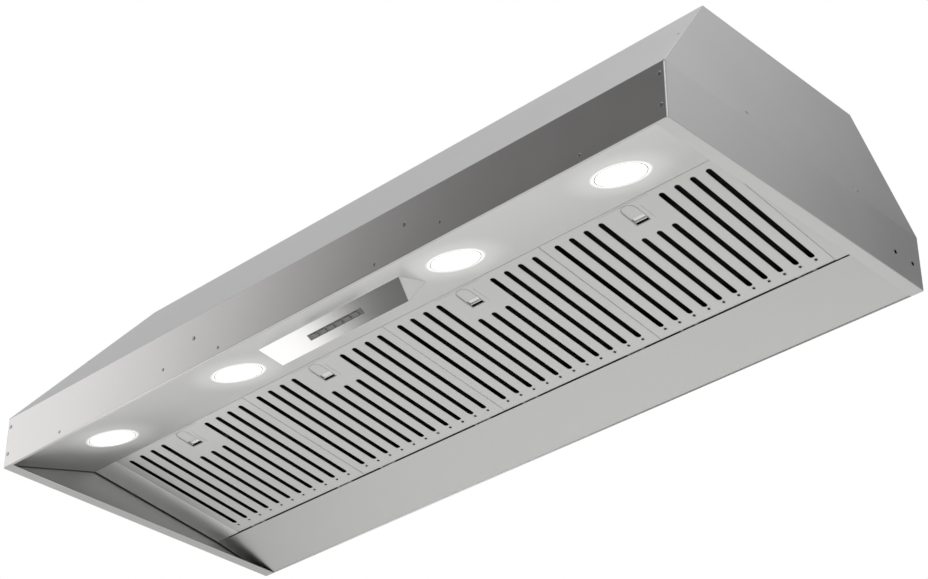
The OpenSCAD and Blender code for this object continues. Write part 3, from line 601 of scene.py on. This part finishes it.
# Heads of the screws and rivets: points that know their outward direction and size
def headGroup(sizes):
    tree, given = startGroup("fastenerHeads", sizes)
    ball = addNode(tree, "GeometryNodeMeshUVSphere",
                   {"Segments": 32, "Rings": 16, "Radius": 1.0}).outputs[0]
    dome = addNode(tree, "GeometryNodeTransform",
                   {"Geometry": ball, "Scale": triple(tree, 1.0, 1.0, given["Dome"])}).outputs[0]
    slot = cuboid(tree, given["Recess"], given["Recess Width"], given["Recess Depth"])
    turned = addNode(tree, "GeometryNodeTransform",
                     {"Geometry": slot, "Rotation": (0, 0, math.pi / 2)}).outputs[0]
    cut = boolean(tree, dome, shift(tree, joinAll(tree, slot, turned), z=given["Dome"]))

    def read(label, kind):
        return addNode(tree, "GeometryNodeInputNamedAttribute", {"Name": label}, data_type=kind).outputs[0]

    facing = addNode(tree, "FunctionNodeAlignRotationToVector", {"Vector": read("outward", "FLOAT_VECTOR")},
                     axis="Z").outputs[0]
    spin = addNode(tree, "FunctionNodeRandomValue", {"Min": 0.0, "Max": 3.0, "Seed": 7},
                   data_type="FLOAT").outputs["Value"]
    own = addNode(tree, "FunctionNodeAxisAngleToRotation", {"Angle": spin}).outputs[0]
    rotation = addNode(tree, "FunctionNodeRotateRotation", {"Rotation": facing, "Rotate By": own},
                       rotation_space="LOCAL").outputs[0]
    isScrew = read("screw", "FLOAT")
    parts = []
    for shape, chosen in ((cut, calc(tree, "GREATER_THAN", isScrew, 0.5)),
                          (dome, calc(tree, "LESS_THAN", isScrew, 0.5))):
        parts.append(addNode(tree, "GeometryNodeInstanceOnPoints", {
            "Points": given["Geometry"], "Selection": chosen, "Instance": shape, "Rotation": rotation,
            "Scale": read("size", "FLOAT")}).outputs[0])
    endGroup(tree, joinAll(tree, *parts), steelHead)
    return tree


def headPoints(rows):
    mesh = meshFrom("headPoints", [row[0] for row in rows], [])
    mesh.attributes.new("outward", "FLOAT_VECTOR", "POINT").data.foreach_set(
        "vector", [n for row in rows for n in row[1]])
    mesh.attributes.new("size", "FLOAT", "POINT").data.foreach_set("value", [row[2] for row in rows])
    mesh.attributes.new("screw", "FLOAT", "POINT").data.foreach_set("value", [row[3] for row in rows])
    return mesh


def bandRow(x, z, radius, screw):
    return ((x, frontY, z), (0, -1, 0), radius, screw)


heads = dict(dome=0.24, recess=1.15, recessWidth=0.26, recessDepth=0.5, corner=8 * mm,
             cornerZ=(19 * mm, 61 * mm), screwRadius=3 * mm, rivetRadius=2.4 * mm, boltRadius=3.2 * mm,
             slopeFront=(153 * mm, 368 * mm), slopeZ=90 * mm,
             low=(460 * mm, 139.5 * mm), lowZ=10 * mm, mid=247 * mm, midZ=20.8 * mm, bolt=188.6 * mm,
             boltZ=43.8 * mm, hip=45.6 * mm, hipZ=188.9 * mm)
endOut = Vector((topZ - skirtZ, 0, shell["endInset"])).normalized()
slopeOut = Vector((0, -(topZ - skirtZ), shell["frontInset"])).normalized()
screwRows, rivetRows = [], []
for side in (-1, 1):
    for z in heads["cornerZ"]:
        screwRows.append(bandRow(side * (halfW - heads["corner"]), z, heads["screwRadius"], 1.0))
    for y in heads["slopeFront"]:
        screwRows.append(((side * halfAt(heads["slopeZ"]), frontY + y, heads["slopeZ"]),
                          (side * endOut.x, 0, endOut.z), heads["screwRadius"], 1.0))
    for x in heads["low"]:
        rivetRows.append(bandRow(side * x, heads["lowZ"], heads["rivetRadius"], 0.0))
    rivetRows.append(bandRow(side * heads["mid"], heads["midZ"], heads["rivetRadius"], 0.0))
    rivetRows.append(bandRow(side * heads["bolt"], heads["boltZ"], heads["boltRadius"], 0.0))
    rivetRows.append(((side * (halfW - heads["hip"]), frontAt(heads["hipZ"]), heads["hipZ"]),
                      tuple(slopeOut), heads["rivetRadius"], 0.0))
headSizes = {"Dome": heads["dome"], "Recess": heads["recess"], "Recess Width": heads["recessWidth"],
             "Recess Depth": heads["recessDepth"]}
headTree = headGroup(headSizes)
for kind, rows in (("screw", screwRows), ("rivet", rivetRows)):
    made = applyGroup(kind + "Maker", headTree, headSizes, headPoints(rows))
    piece = finishPiece(made, kind + "Heads", steelHead, "root")
    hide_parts(kind + "s")
print("fastener heads made")


cutDepth = 8 * mm  # how far a cutter reaches through a sheet


def carve(piece, cutters):
    tools = []
    for verts, faces in cutters:
        mesh = meshFrom("cutter", verts, faces)
        work = bmesh.new()
        work.from_mesh(mesh)
        bmesh.ops.recalc_face_normals(work, faces=work.faces)
        work.to_mesh(mesh)
        work.free()
        modifier = piece.modifiers.new("cut", "BOOLEAN")
        modifier.operation = "DIFFERENCE"
        modifier.solver = "EXACT"
        modifier.object = addObject("cutter", mesh)
        tools.append(modifier.object)
    applyAll(piece)
    for tool in tools:
        bpy.data.objects.remove(tool)


def applyAll(piece, angle=32):
    bakeModifiers(piece)
    piece.data.set_sharp_from_angle(angle=math.radians(angle))
    evenNormals(piece)


def rodMesh(centre, axis, radius, length, steps=64):
    profile = [(0, -length / 2), (radius, -length / 2), (radius, length / 2), (0, length / 2)]
    turn = Vector((0, 0, 1)).rotation_difference(Vector(axis)).to_matrix().to_4x4()
    return moved(latheMesh(profile, steps), Matrix.Translation(centre) @ turn)


# Outer skin of band, slopes, ends, top and back, one folded sheet with rounded bends
def skinPoints(side):
    rim, lip = halfW - shell["endRim"], frontY + shell["lip"]
    topX, topY = halfW - shell["endInset"], frontY + shell["frontInset"]
    return [(side * halfW, frontY, 0), (side * rim, lip, 0), (side * rim, rearY, 0),
            (side * halfW, rearY, 0), (side * halfW, frontY, skirtZ), (side * halfW, rearY, skirtZ),
            (side * topX, topY, topZ), (side * topX, rearY, topZ)]


# Face groups of the outer sheet, each with its own tone of the same steel: painted light and shade
bandPaint, slopePaint, endPaint, backPaint, rimPaint, innerShadePaint = range(6)
facing = 0.9  # a face whose normal has this much of an axis looks along it
verts = skinPoints(-1) + skinPoints(1)
faces = [(0, 8, 12, 4), (4, 12, 14, 6), (6, 14, 15, 7), (11, 3, 5, 7, 15, 13), (0, 1, 9, 8)]
kinds = [bandPaint, slopePaint, backPaint, backPaint, bandPaint]
for k in (0, 8):
    faces += [(k, k + 4, k + 5, k + 3), (k + 4, k + 6, k + 7, k + 5), (k, k + 3, k + 2, k + 1)]
    kinds += [endPaint] * 3
mesh = meshFrom("outerSkin", verts, faces)
work = bmesh.new()
work.from_mesh(mesh)
work.faces.ensure_lookup_table()
for face, kind in zip(work.faces, kinds):
    face.material_index = kind
bmesh.ops.recalc_face_normals(work, faces=work.faces)
work.faces.ensure_lookup_table()
if work.faces[0].normal.y > 0:
    bmesh.ops.reverse_faces(work, faces=work.faces)
weights = work.edges.layers.float.new("bevel_weight_edge")
for edge in work.edges:
    climb = abs(edge.verts[0].co.z - edge.verts[1].co.z)
    corner = climb > 0.99 * edge.calc_length() and edge.verts[0].co.y < 0
    edge[weights] = 0 if len(edge.link_faces) < 2 else 1 if corner else shell["bend"] / shell["corner"]
work.to_mesh(mesh)
work.free()
places = [polygon.material_index for polygon in mesh.polygons]
for k, polygon in enumerate(mesh.polygons):
    if polygon.normal.z < -facing:
        places[k] = rimPaint
skin = finishPiece(mesh, "outerSkin", steelBand, "root")
for extra in (steelSlope, steelEnd, steelBack, steelRim, steelInnerShaded):
    skin.data.materials.append(extra)
skin.data.polygons.foreach_set("material_index", places)
soften = skin.modifiers.new("soften", "BEVEL")
soften.limit_method = "WEIGHT"
soften.width = shell["corner"]
soften.segments = 4
thick = skin.modifiers.new("thick", "SOLIDIFY")
thick.thickness = shell["sheet"]
thick.offset = -1
thick.use_even_offset = True
thick.use_quality_normals = True
applyAll(skin)
# Inner faces of the end panels take a darker copy of the steel: painted shade inside the ends
for polygon in skin.data.polygons:
    if abs(polygon.normal.x) > facing and polygon.normal.x * polygon.center.x < 0:
        polygon.material_index = innerShadePaint
for vertex in skin.data.vertices:
    vertex.co.z = max(vertex.co.z, 0)
collar = dict(radius=101.6 * mm, sheet=1 * mm, edge=0.4 * mm, flange=112.6 * mm, flangeSheet=1.2 * mm,
              bead=94.6 * mm, beadZ=16.3 * mm, beadHalf=0.6 * mm, beadSlope=0.3 * mm, steps=96)
gland = dict(hole=11 * mm, steps=32)
sideHoles = dict(first=18 * mm, pitch=36 * mm, z=30.6 * mm, radius=2.8 * mm, steps=24)
collarLow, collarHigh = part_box("duct_collar")
collarY = (collarLow.y + collarHigh.y) / 2
collarInner = collar["radius"] - collar["sheet"]
glandLow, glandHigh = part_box("cable_gland")
glandC = (glandLow + glandHigh) / 2
cuts = [rodMesh((0, collarY, topZ), (0, 0, 1), collarInner, cutDepth, collar["steps"]),
        rodMesh((glandC.x, glandC.y, topZ), (0, 0, 1), gland["hole"], cutDepth, gland["steps"])]
for side in (-1, 1):
    for k in (0, 1):
        y = rearY - sideHoles["first"] - k * sideHoles["pitch"]
        cuts.append(rodMesh((side * halfW, y, sideHoles["z"]), (1, 0, 0), sideHoles["radius"], cutDepth,
                            sideHoles["steps"]))
carve(skin, cuts)
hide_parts("front_band", "front_slope_panel", "left_end_panel", "right_end_panel", "top_panel",
            "back_panel")
print("outer skin made")

# Light panel with its folded front and rear edges
back = linerFrame @ Vector((0, 0, filters["height"]))
path = roundBends([(lightY, liner["frontZ"] + liner["frontFlange"]), (lightY, liner["frontZ"]),
                   (creaseY, liner["creaseZ"]), (back.y, back.z)], liner["bend"])
sheet = sheetMesh(path, liner["sheet"], lambda p: (-linerHalf, linerHalf), "x")
lightPanel = makePiece("lightPanel", *sheet, steelLight, "root", "liner")
lensCentres, cuts = [], []
for i in range(lamp["count"]):
    low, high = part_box("lamp_lens_%d" % (i + 1))
    centre = lightFrame @ Vector(((low.x + high.x) / 2, lamp["u"], 0))
    lensCentres.append(centre)
    cuts.append(rodMesh(centre, lightFrame.to_3x3() @ Vector((0, 0, 1)), lamp["radius"] + lamp["gap"],
                        cutDepth, lamp["steps"]))
for i in range(filters["count"]):
    reach, (front, rear) = latch["width"] / 2 + latch["slotEdge"], latch["slotReach"]
    cuts.append(moved(boxMesh((-reach, front, latchLow), (reach, rear, latchHigh)), filterFrame(i)))
carve(lightPanel, cuts)
# The light panel glows round each lamp: painted light
paintLampHalo(steelLight, [tuple(c) for c in lensCentres])
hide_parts("light_panel")

# Side strips beside the row of filters, and the panel behind it
rowLow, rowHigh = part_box("filter_hook_rail")
for name, x0, x1 in (("left", -linerHalf, rowLow.x), ("right", rowHigh.x, linerHalf)):
    path = roundBends([(x0, filters["height"]), (x0, 0), (x1, 0), (x1, filters["height"])], liner["bend"])
    sheet = sheetMesh(path, liner["sheet"], lambda p: (0, liner["gapFront"]), "y")
    # The left strip takes a brighter copy of the liner steel: painted light against the shade beside the
    # left end panel
    strip = makePiece(name + "Strip", *sheet, steelSideLit if name == "left" else steelLiner, "root", "liner",
                      place=linerFrame)
    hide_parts(name + "_liner_strip")
start = linerFrame @ Vector((0, liner["gapRear"], 0))
bend = Vector((0, rearY - shell["sheet"], shell["sheet"] + liner["rearLift"]))
path = roundBends([(start.y, start.z), (bend.y, bend.z), (bend.y, bend.z + liner["rearFlange"])],
                  liner["bend"])
parts = [sheetMesh(path, liner["sheet"], lambda p: (-linerHalf, linerHalf), "x")]
for side in (-1, 1):
    a, b = sorted((side * (halfW - liner["gapEnd"]), side * linerHalf))
    tab = boxMesh((a, liner["gapFront"], 0), (b, liner["gapRear"] + liner["tabLap"], liner["sheet"]))
    parts.append(moved(tab, linerFrame))
rearPanel = makePiece("rearPanel", *joinMeshes(*parts), steelLiner, "root", "liner")
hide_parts("rear_liner_panel")
print("liner made")


# Flat plate on a grid of places, with some cells left open
def gridPlate(xs, ys, isOpen, low, high):
    verts, faces = [], []

    def quad(a, b, c, d):
        base = len(verts)
        verts.extend((a, b, c, d))
        faces.append((base, base + 1, base + 2, base + 3))

    nx, ny = len(xs) - 1, len(ys) - 1
    for i in range(nx):
        for j in range(ny):
            if isOpen(i, j):
                continue
            x0, x1, y0, y1 = xs[i], xs[i + 1], ys[j], ys[j + 1]
            quad((x0, y0, low), (x0, y1, low), (x1, y1, low), (x1, y0, low))
            quad((x0, y0, high), (x1, y0, high), (x1, y1, high), (x0, y1, high))
            if i == 0 or isOpen(i - 1, j):
                quad((x0, y0, low), (x0, y0, high), (x0, y1, high), (x0, y1, low))
            if i == nx - 1 or isOpen(i + 1, j):
                quad((x1, y0, low), (x1, y1, low), (x1, y1, high), (x1, y0, high))
            if j == 0 or isOpen(i, j - 1):
                quad((x0, y0, low), (x1, y0, low), (x1, y0, high), (x0, y0, high))
            if j == ny - 1 or isOpen(i, j + 1):
                quad((x0, y1, low), (x0, y1, high), (x1, y1, high), (x1, y1, low))
    return verts, faces


# Console: a hollow wedge under the light panel, with the button strip let into its front plate
console = dict(x=6 * mm, u=50.3 * mm, depth=48.8 * mm, plate=34.6 * mm, tilt=math.radians(43.4),
               half=125.5 * mm, ridgeHalf=112 * mm, edge=0.9 * mm, sheet=1.2 * mm)
buttons = dict(count=6, pitch=14.3 * mm, width=9.8 * mm, depth=5.6 * mm, low=-1.3 * mm, high=3.4 * mm,
               stripWidth=95 * mm, stripDepth=8.7 * mm, gap=0.3 * mm, edge=0.5 * mm,
               bezelLow=-0.5 * mm, bezelHigh=2 * mm, bezelEdge=0.25 * mm, stripCut=3 * mm)
plateFrame = (lightFrame @ Matrix.Translation((console["x"], console["u"], 0))
              @ Matrix.Rotation(-console["tilt"], 4, "X")
              @ Matrix.Translation((0, console["plate"] / 2, 0)))
ridgeU = console["u"] + console["plate"] * math.cos(console["tilt"])
drop = console["plate"] * math.sin(console["tilt"])
h, r = console["half"], console["ridgeHalf"]
verts = [(-h, console["u"], 0), (h, console["u"], 0), (r, ridgeU, -drop), (-r, ridgeU, -drop),
         (-h, console["u"] + console["depth"], 0), (h, console["u"] + console["depth"], 0)]
faces = [(0, 1, 2, 3), (3, 2, 5, 4), (1, 5, 2), (0, 3, 4)]
mesh = meshFrom("consoleBody", verts, faces)
work = bmesh.new()
work.from_mesh(mesh)
bmesh.ops.recalc_face_normals(work, faces=work.faces)
work.faces.ensure_lookup_table()
if work.faces[0].normal.z > 0:
    bmesh.ops.reverse_faces(work, faces=work.faces)
inside = [e for e in work.edges if len(e.link_faces) == 2]
bmesh.ops.bevel(work, geom=inside, offset=console["edge"], segments=3, profile=0.5, affect="EDGES")
work.to_mesh(mesh)
work.free()
body = finishPiece(mesh, "consoleBody", steelConsole, "root",
                   lightFrame @ Matrix.Translation((console["x"], 0, 0)))
thick = body.modifiers.new("thick", "SOLIDIFY")
thick.thickness = console["sheet"]
thick.offset = -1
thick.use_even_offset = True
applyAll(body)
# The console's side cheeks take the light panel's brighter steel with its painted glow from the lamps:
# painted light
body.data.materials.append(steelLight)
for polygon in body.data.polygons:
    polygon.material_index = 1 if abs(polygon.normal.x) > 0.5 else 0
w, d = buttons["stripWidth"] / 2, buttons["stripDepth"] / 2
carve(body, [moved(boxMesh((-w, -d, -buttons["stripCut"]), (w, d, buttons["stripCut"])), plateFrame)])
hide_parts("control_housing")

capX, capY = buttons["width"] / 2, buttons["depth"] / 2
holeX, holeY = capX + buttons["gap"], capY + buttons["gap"]
places = [(k - (buttons["count"] - 1) / 2) * buttons["pitch"] for k in range(buttons["count"])]
xs = [-w] + [edge for x in places for edge in (x - holeX, x + holeX)] + [w]
grid = gridPlate(xs, [-d, -holeY, holeY, d], lambda i, j: j == 1 and i % 2 == 1, buttons["bezelLow"],
                 buttons["bezelHigh"])
bezel = makePiece("buttonBezel", *grid, plasticGrey, "root", "bezel", place=plateFrame,
                  bevel=buttons["bezelEdge"])
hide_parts("button_bezel")
for k, x in enumerate(places):
    block = boxMesh((x - capX, -capY, buttons["low"]), (x + capX, capY, buttons["high"]))
    cap = makePiece("buttonCap_%d" % (k + 1), *block, plasticButton, "button_%d" % (k + 1), "button",
                    place=plateFrame, bevel=buttons["edge"])
    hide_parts("button_%d" % (k + 1))
print("console made")

# Lamps: a shallow dome with a narrow pale ring round it
ring, radius, edge = lamp["radius"] - lamp["ring"], lamp["radius"], -lamp["gap"]
profile = [(ring * k / 8, edge - lamp["dome"] * (1 - (k / 8) ** 2)) for k in range(9)]
grooveSteps = [(0.1, 0.35), (0.5, 0.35), (0.6, -0.25), (0.9, -0.38), (1.4, -0.3), (1.7, 0)]
profile += [(ring + out * mm, edge + up * mm) for out, up in grooveSteps]
profile += [(radius, lamp["lip"]), (radius + lamp["lip"], lamp["lip"]),
            (radius + lamp["lip"], lamp["depth"]), (0, lamp["depth"])]
for i, centre in enumerate(lensCentres):
    lens = makePiece("lampLens_%d" % (i + 1), *latheMesh(profile, lamp["steps"]), lampGlow, "root", "lens",
                     place=Matrix.Translation(centre) @ lightFrame.to_3x3().to_4x4())
    lens.data.materials.append(plasticWhite)
    for polygon in lens.data.polygons:
        away = max((lens.data.vertices[v].co - centre).length for v in polygon.vertices)
        if away > ring + lamp["ringSeam"]:
            polygon.material_index = 1
    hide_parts("lamp_lens_%d" % (i + 1))
print("lamps made")

# Latches: a plate with a finger tab folded down in the cup's window
hinge = dict(v=234.8 * mm, w=3 * mm, radius=1.2 * mm, station=90 * mm, rod=30 * mm, tab=16 * mm)
for i in range(filters["count"]):
    place, reach, tab = filterFrame(i), latch["width"] / 2, latch["tab"] / 2
    front, bend = latch["finger"] - latch["holeFront"], latch["finger"] - latch["fingerSheet"]
    left, right = cup["shift"] - tab, cup["shift"] + tab
    rows = [-latch["tongue"], front, latch["holeRear"], latch["rear"]]
    plate = gridPlate([-reach, left, right, reach], rows, lambda a, b: a == 1 and b == 1, latch["z"],
                      latch["z"] + latch["thickness"])
    path = roundBends([(front, latch["z"]), (bend, latch["z"]), (bend, latch["fingerLow"])],
                      latch["fingerBend"])
    finger = sheetMesh(path, latch["fingerSheet"],
                       lambda p: (left + latch["tabEdge"], right - latch["tabEdge"]), "x")
    piece = makePiece("latchPlate_%d" % (i + 1), *joinMeshes(plate, finger), steelLatch,
                      "latch_%d" % (i + 1), "baffle", place=place)
    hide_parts("latch_%d" % (i + 1))
    parts = []
    for x in (-hinge["station"], hinge["station"]):
        parts.append(rodMesh((x, hinge["v"], hinge["w"]), (1, 0, 0), hinge["radius"], hinge["rod"], 20))
        parts.append(boxMesh((x - hinge["tab"] / 2, filters["depth"] - filters["sheet"],
                              hinge["w"] - hinge["radius"]),
                             (x + hinge["tab"] / 2, hinge["v"], hinge["w"] + hinge["radius"])))
    makePiece("filterHinges_%d" % (i + 1), *joinMeshes(*parts), steelBright, "filter_%d" % (i + 1),
              "bright_steel", place=place)
print("latches made")

# Duct collar with a flange, a fillet at its foot and a stop ring for the flaps
outer, soft, foot = collar["radius"], collar["edge"], topZ + collar["flangeSheet"]
beadZ, beadHalf = topZ + collar["beadZ"], collar["beadHalf"]
profile = [(collarInner, topZ - collar["sheet"]), (collarInner, beadZ - beadHalf - collar["beadSlope"]),
           (collar["bead"], beadZ - beadHalf), (collar["bead"], beadZ + beadHalf),
           (collarInner, beadZ + beadHalf + collar["beadSlope"]), (collarInner, collarHigh.z - 0.3 * mm),
           (collarInner + 0.5 * mm, collarHigh.z), (outer, collarHigh.z - soft), (outer, foot + 3 * soft),
           (outer + soft, foot + soft), (outer + 3 * soft, foot), (collar["flange"] - soft, foot),
           (collar["flange"], foot - soft), (collar["flange"], topZ), (collarInner, topZ - collar["sheet"])]
ductCollar = makePiece("ductCollar", *latheMesh(profile, collar["steps"]), zinc, "root", "galvanised",
                       place=Matrix.Translation((0, collarY, 0)))
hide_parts("duct_collar")

# Damper flaps: half discs with a pressed rib and two knuckles each on the common rod
flap = dict(radius=97.6 * mm, thickness=0.8 * mm, knuckle=4.2 * mm, bore=2.48 * mm, length=39.7 * mm,
            starts=(-40.85 * mm, 41.15 * mm), edge=4.6 * mm, root=3.2 * mm, rib=72 * mm,
            ribWidth=5 * mm, ribHeight=0.9 * mm, ribSink=0.1 * mm, ribStart=0.16, steps=72,
            knuckleSteps=32)


def arcPoints(radius, low, steps):
    angles = [low + (math.pi - 2 * low) * k / steps for k in range(steps + 1)]
    return [(radius * math.cos(a), radius * math.sin(a)) for a in angles]


outline = arcPoints(flap["radius"], math.asin(flap["edge"] / flap["radius"]), flap["steps"])
parts = []
for x in flap["starts"]:
    end = x + flap["length"]
    outline += [(x, flap["edge"]), (x, flap["root"]), (end, flap["root"]), (end, flap["edge"])]
    profile = [(flap["bore"], 0), (flap["knuckle"], 0), (flap["knuckle"], flap["length"]),
               (flap["bore"], flap["length"]), (flap["bore"], 0)]
    turn = Matrix.Translation((x, 0, 0)) @ Matrix.Rotation(math.pi / 2, 4, "Y")
    parts.append(moved(latheMesh(profile, flap["knuckleSteps"]), turn))
half = flap["thickness"] / 2
parts.append(prismMesh(outline, -half, half))
rib = (arcPoints(flap["rib"] + flap["ribWidth"] / 2, flap["ribStart"], flap["steps"])
       + arcPoints(flap["rib"] - flap["ribWidth"] / 2, flap["ribStart"], flap["steps"])[::-1])
parts.append(prismMesh(rib, half - flap["ribSink"], half + flap["ribHeight"]))
rodLow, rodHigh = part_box("damper_rod")
pivot = Matrix.Translation((0, collarY, (rodLow.z + rodHigh.z) / 2))
for side, turn in (("rear", 0), ("front", math.pi)):
    piece = makePiece("damperFlap_" + side, *joinMeshes(*parts), zinc, "damper_" + side, "galvanised",
                      place=pivot @ Matrix.Rotation(turn, 4, "Z"))
    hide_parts("damper_flap_" + side)
print("collar and flaps made")

# CAD nodes that keep their own shape get their finish here
finishes = {
    "filter_hook_rail": steelRail, "lamp_cans": castAlloy, "led_boards": plasticWhite,
    "blower_scroll": zinc, "blower_side_left": zinc, "blower_side_right": zinc, "impeller": zinc,
    "blower_motor": paintDark, "motor_bracket": zinc, "motor_shaft": steelBright,
    "damper_rod": steelBright, "power_box": zinc,
    "power_box_cover": zinc, "cable_gland": plasticDark, "lamp_driver": plasticWhite,
    "wiring": leadBlack, "control_board": boardGreen}
for i in range(filters["count"]):
    finishes["filter_tray_%d" % (i + 1)] = trayMetal
for name, material in finishes.items():
    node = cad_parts[name]
    node.data.materials.clear()
    node.data.materials.append(material)
print("finishes set")

# Stage: a white world behind all, and a light tent with its own tone in each direction
world = bpy.data.worlds.new("studio")
bpy.context.scene.world = world
world.use_nodes = True
world.node_tree.nodes["Background"].inputs["Color"].default_value = (1, 1, 1, 1)
studio = dict(base=0.50, low=0.42, turn=0.3, tent=14)
lobes = [((-0.48, 0.87, -0.10), 0.87, 0.99, 0.42), ((-0.58, 0.39, 0.71), 0.86, 0.99, 0.10),
         ((0.03, 0.69, 0.72), 0.93, 0.99, 0.17), ((0.59, 0.80, -0.10), 0.93, 0.99, 0.5),
         ((0.69, -0.45, 0.57), 0.95, 0.995, 1.1)]
ground = dict(z=-1.9, half=6, near=2.0, far=5.5, lift=0.10)


def stageObject(name, data, hidden=False):
    piece = addObject(name, data)
    piece.visible_camera = not hidden
    piece.visible_shadow = not hidden
    return piece


def stageSheet(name, points, material, hidden=False):
    mesh = meshFrom(name, points, [(0, 1, 2, 3)])
    mesh.materials.append(material)
    stageObject(name, mesh, hidden)


def glowOnly(tree, shader, colour, gain):
    fill(tree, shader, {"Base Color": (0, 0, 0, 1), "Roughness": 1.0, "Specular IOR Level": 0.0,
                        "Emission Color": colour, "Emission Strength": gain})


tentCloth, tree, shader, place = newMaterial("tentCloth")
heading = addNode(tree, "ShaderNodeVectorMath", {0: place}, operation="NORMALIZE").outputs[0]
total = remap(tree, axisOf(tree, heading, 2), -studio["turn"], studio["turn"], studio["low"],
              studio["base"])
for direction, low, high, gain in lobes:
    near = addNode(tree, "ShaderNodeVectorMath", {0: heading, 1: Vector(direction).normalized()},
                   operation="DOT_PRODUCT").outputs["Value"]
    total = calc(tree, "ADD", total, remap(tree, near, low, high, 0.0, gain, "SMOOTHSTEP"))
glowOnly(tree, shader, (1, 1, 1, 1), total)
mesh = bpy.data.meshes.new("lightTent")
work = bmesh.new()
bmesh.ops.create_icosphere(work, subdivisions=5, radius=studio["tent"])
bmesh.ops.reverse_faces(work, faces=work.faces)
work.to_mesh(mesh)
work.free()
mesh.materials.append(tentCloth)
stageObject("lightTent", mesh, hidden=True)

# The floor keeps soft shadows, and is a little lighter towards its edge where it is looked at
floorPaint, tree, shader, place = newMaterial("floorPaint")
rays = addNode(tree, "ShaderNodeLightPath").outputs
seen = calc(tree, "ADD", calc(tree, "ADD", rays["Is Camera Ray"], rays["Is Glossy Ray"]),
            rays["Is Transmission Ray"], True)
away = addNode(tree, "ShaderNodeVectorMath", {0: place}, operation="LENGTH").outputs["Value"]
lift = remap(tree, away, ground["near"], ground["far"], 0.0, ground["lift"], "SMOOTHSTEP")
fill(tree, shader, {"Base Color": (0.76, 0.76, 0.755, 1), "Roughness": 0.8,
                    "Emission Color": (1, 1, 1, 1),
                    "Emission Strength": calc(tree, "MULTIPLY", seen, lift)})
# Seen from under the floor, the sheet lets the view through
under = addNode(tree, "ShaderNodeNewGeometry").outputs["Backfacing"]
clear = addNode(tree, "ShaderNodeBsdfTransparent").outputs[0]
mix = addNode(tree, "ShaderNodeMixShader", {0: calc(tree, "MULTIPLY", rays["Is Camera Ray"], under),
                                            1: shader.outputs[0], 2: clear}).outputs[0]
fill(tree, tree.nodes["Material Output"], {"Surface": mix})
corners = [(-1, -1), (1, -1), (1, 1), (-1, 1)]
stageSheet("floor", [(x * ground["half"], y * ground["half"], ground["z"]) for x, y in corners], floorPaint)


# Card with a row of tones between two places, measured along its own direction or round a centre
def glowCard(name, middle, across, upward, size, stops, gain=1.0, centre=None):
    paint, tree, shader, place = newMaterial(name + "Paint")
    middle, across = Vector(middle), Vector(across).normalized()
    upward = Vector(upward)
    upward = (upward - upward.dot(across) * across).normalized()
    if centre is None:
        start = middle + across * stops[0][0]
        offset = addNode(tree, "ShaderNodeVectorMath", {0: place, 1: start},
                         operation="SUBTRACT").outputs[0]
        value = addNode(tree, "ShaderNodeVectorMath", {0: offset, 1: across}, operation="DOT_PRODUCT")
        reach = stops[-1][0] - stops[0][0]
    else:
        value = addNode(tree, "ShaderNodeVectorMath", {0: place, 1: Vector(centre)}, operation="DISTANCE")
        reach = stops[-1][0]
    ramp = addNode(tree, "ShaderNodeValToRGB",
                   {"Fac": calc(tree, "DIVIDE", value.outputs["Value"], reach, True)})
    ramp.color_ramp.interpolation = "EASE"
    marks = ramp.color_ramp.elements
    while len(marks) < len(stops):
        marks.new(0.5)
    first = stops[0][0] if centre is None else 0.0
    for mark, (at, tone) in zip(marks, stops):
        mark.position = (at - first) / reach
        mark.color = (tone, tone, tone, 1)
    glowOnly(tree, shader, ramp.outputs["Color"], gain)
    a, b = across * size[0] / 2, upward * size[1] / 2
    stageSheet(name, [tuple(middle - a - b), tuple(middle + a - b), tuple(middle + a + b),
                      tuple(middle - a + b)], paint, hidden=True)


glowCard("bandCard", (-0.75, -0.72, 0.46), (1, -0.08, 0.08), (0, -0.35, 1), (3.4, 1.6),
         [(-0.75, 0.84), (-0.2, 0.66), (0.02, 0.46), (0.25, 0.22), (0.5, 0.09), (0.8, 0.08)], 1.75)
glowCard("endCard", (0.85, 0.75, 0.72), (0, 1, 0), (-0.41, 0, 0.36), (1.5, 1.0),
         [(-0.5, 0.85), (-0.2, 0.60), (0.1, 0.33), (0.4, 0.19)], 1.0)
glowCard("consoleCard", (-0.42, -0.19, -0.56), (0.81, 0, -0.58), (0, 1, 0), (0.9, 0.5),
         [(0.0, 1.0), (0.27, 1.0), (0.33, 0.5), (0.37, 0.12), (0.7, 0.10)], 1.6,
         centre=(-0.70, -0.14, -0.36))


def areaLamp(name, place, target, size, power):
    light = bpy.data.lights.new(name, "AREA")
    light.shape = "SQUARE"
    light.size = size
    light.energy = power
    piece = stageObject(name, light)
    piece.location = place
    piece.rotation_mode = "QUATERNION"
    piece.rotation_quaternion = (Vector(target) - Vector(place)).to_track_quat("-Z", "Y")


areaLamp("above", (0.7, -0.5, 2.4), (0, 0, 0.1), 2.0, 20)
areaLamp("below", (-0.65, 1.05, -1.7), (0.05, 0.1, 0), 2.0, 4.8)

camera = dict(place=(1.73435, -1.76885, -1.40897), right=(0.72491, 0.68885, -0.00135),
              up=(0.36696, -0.38451, 0.84705), lens=86.24, sensor=36)
eye = bpy.data.cameras.new("photoCamera")
eye.sensor_width = camera["sensor"]
eye.lens = camera["lens"]
eye.clip_start, eye.clip_end = 0.05, 60
viewer = stageObject("photoCamera", eye)
rightWay, upWay = Vector(camera["right"]), Vector(camera["up"])
backWay = rightWay.cross(upWay)
turn = Matrix((rightWay, upWay, backWay)).transposed().to_4x4()
viewer.matrix_world = Matrix.Translation(camera["place"]) @ turn
bpy.context.scene.camera = viewer
bpy.context.scene.view_settings.view_transform = "Standard"
print("stage set")
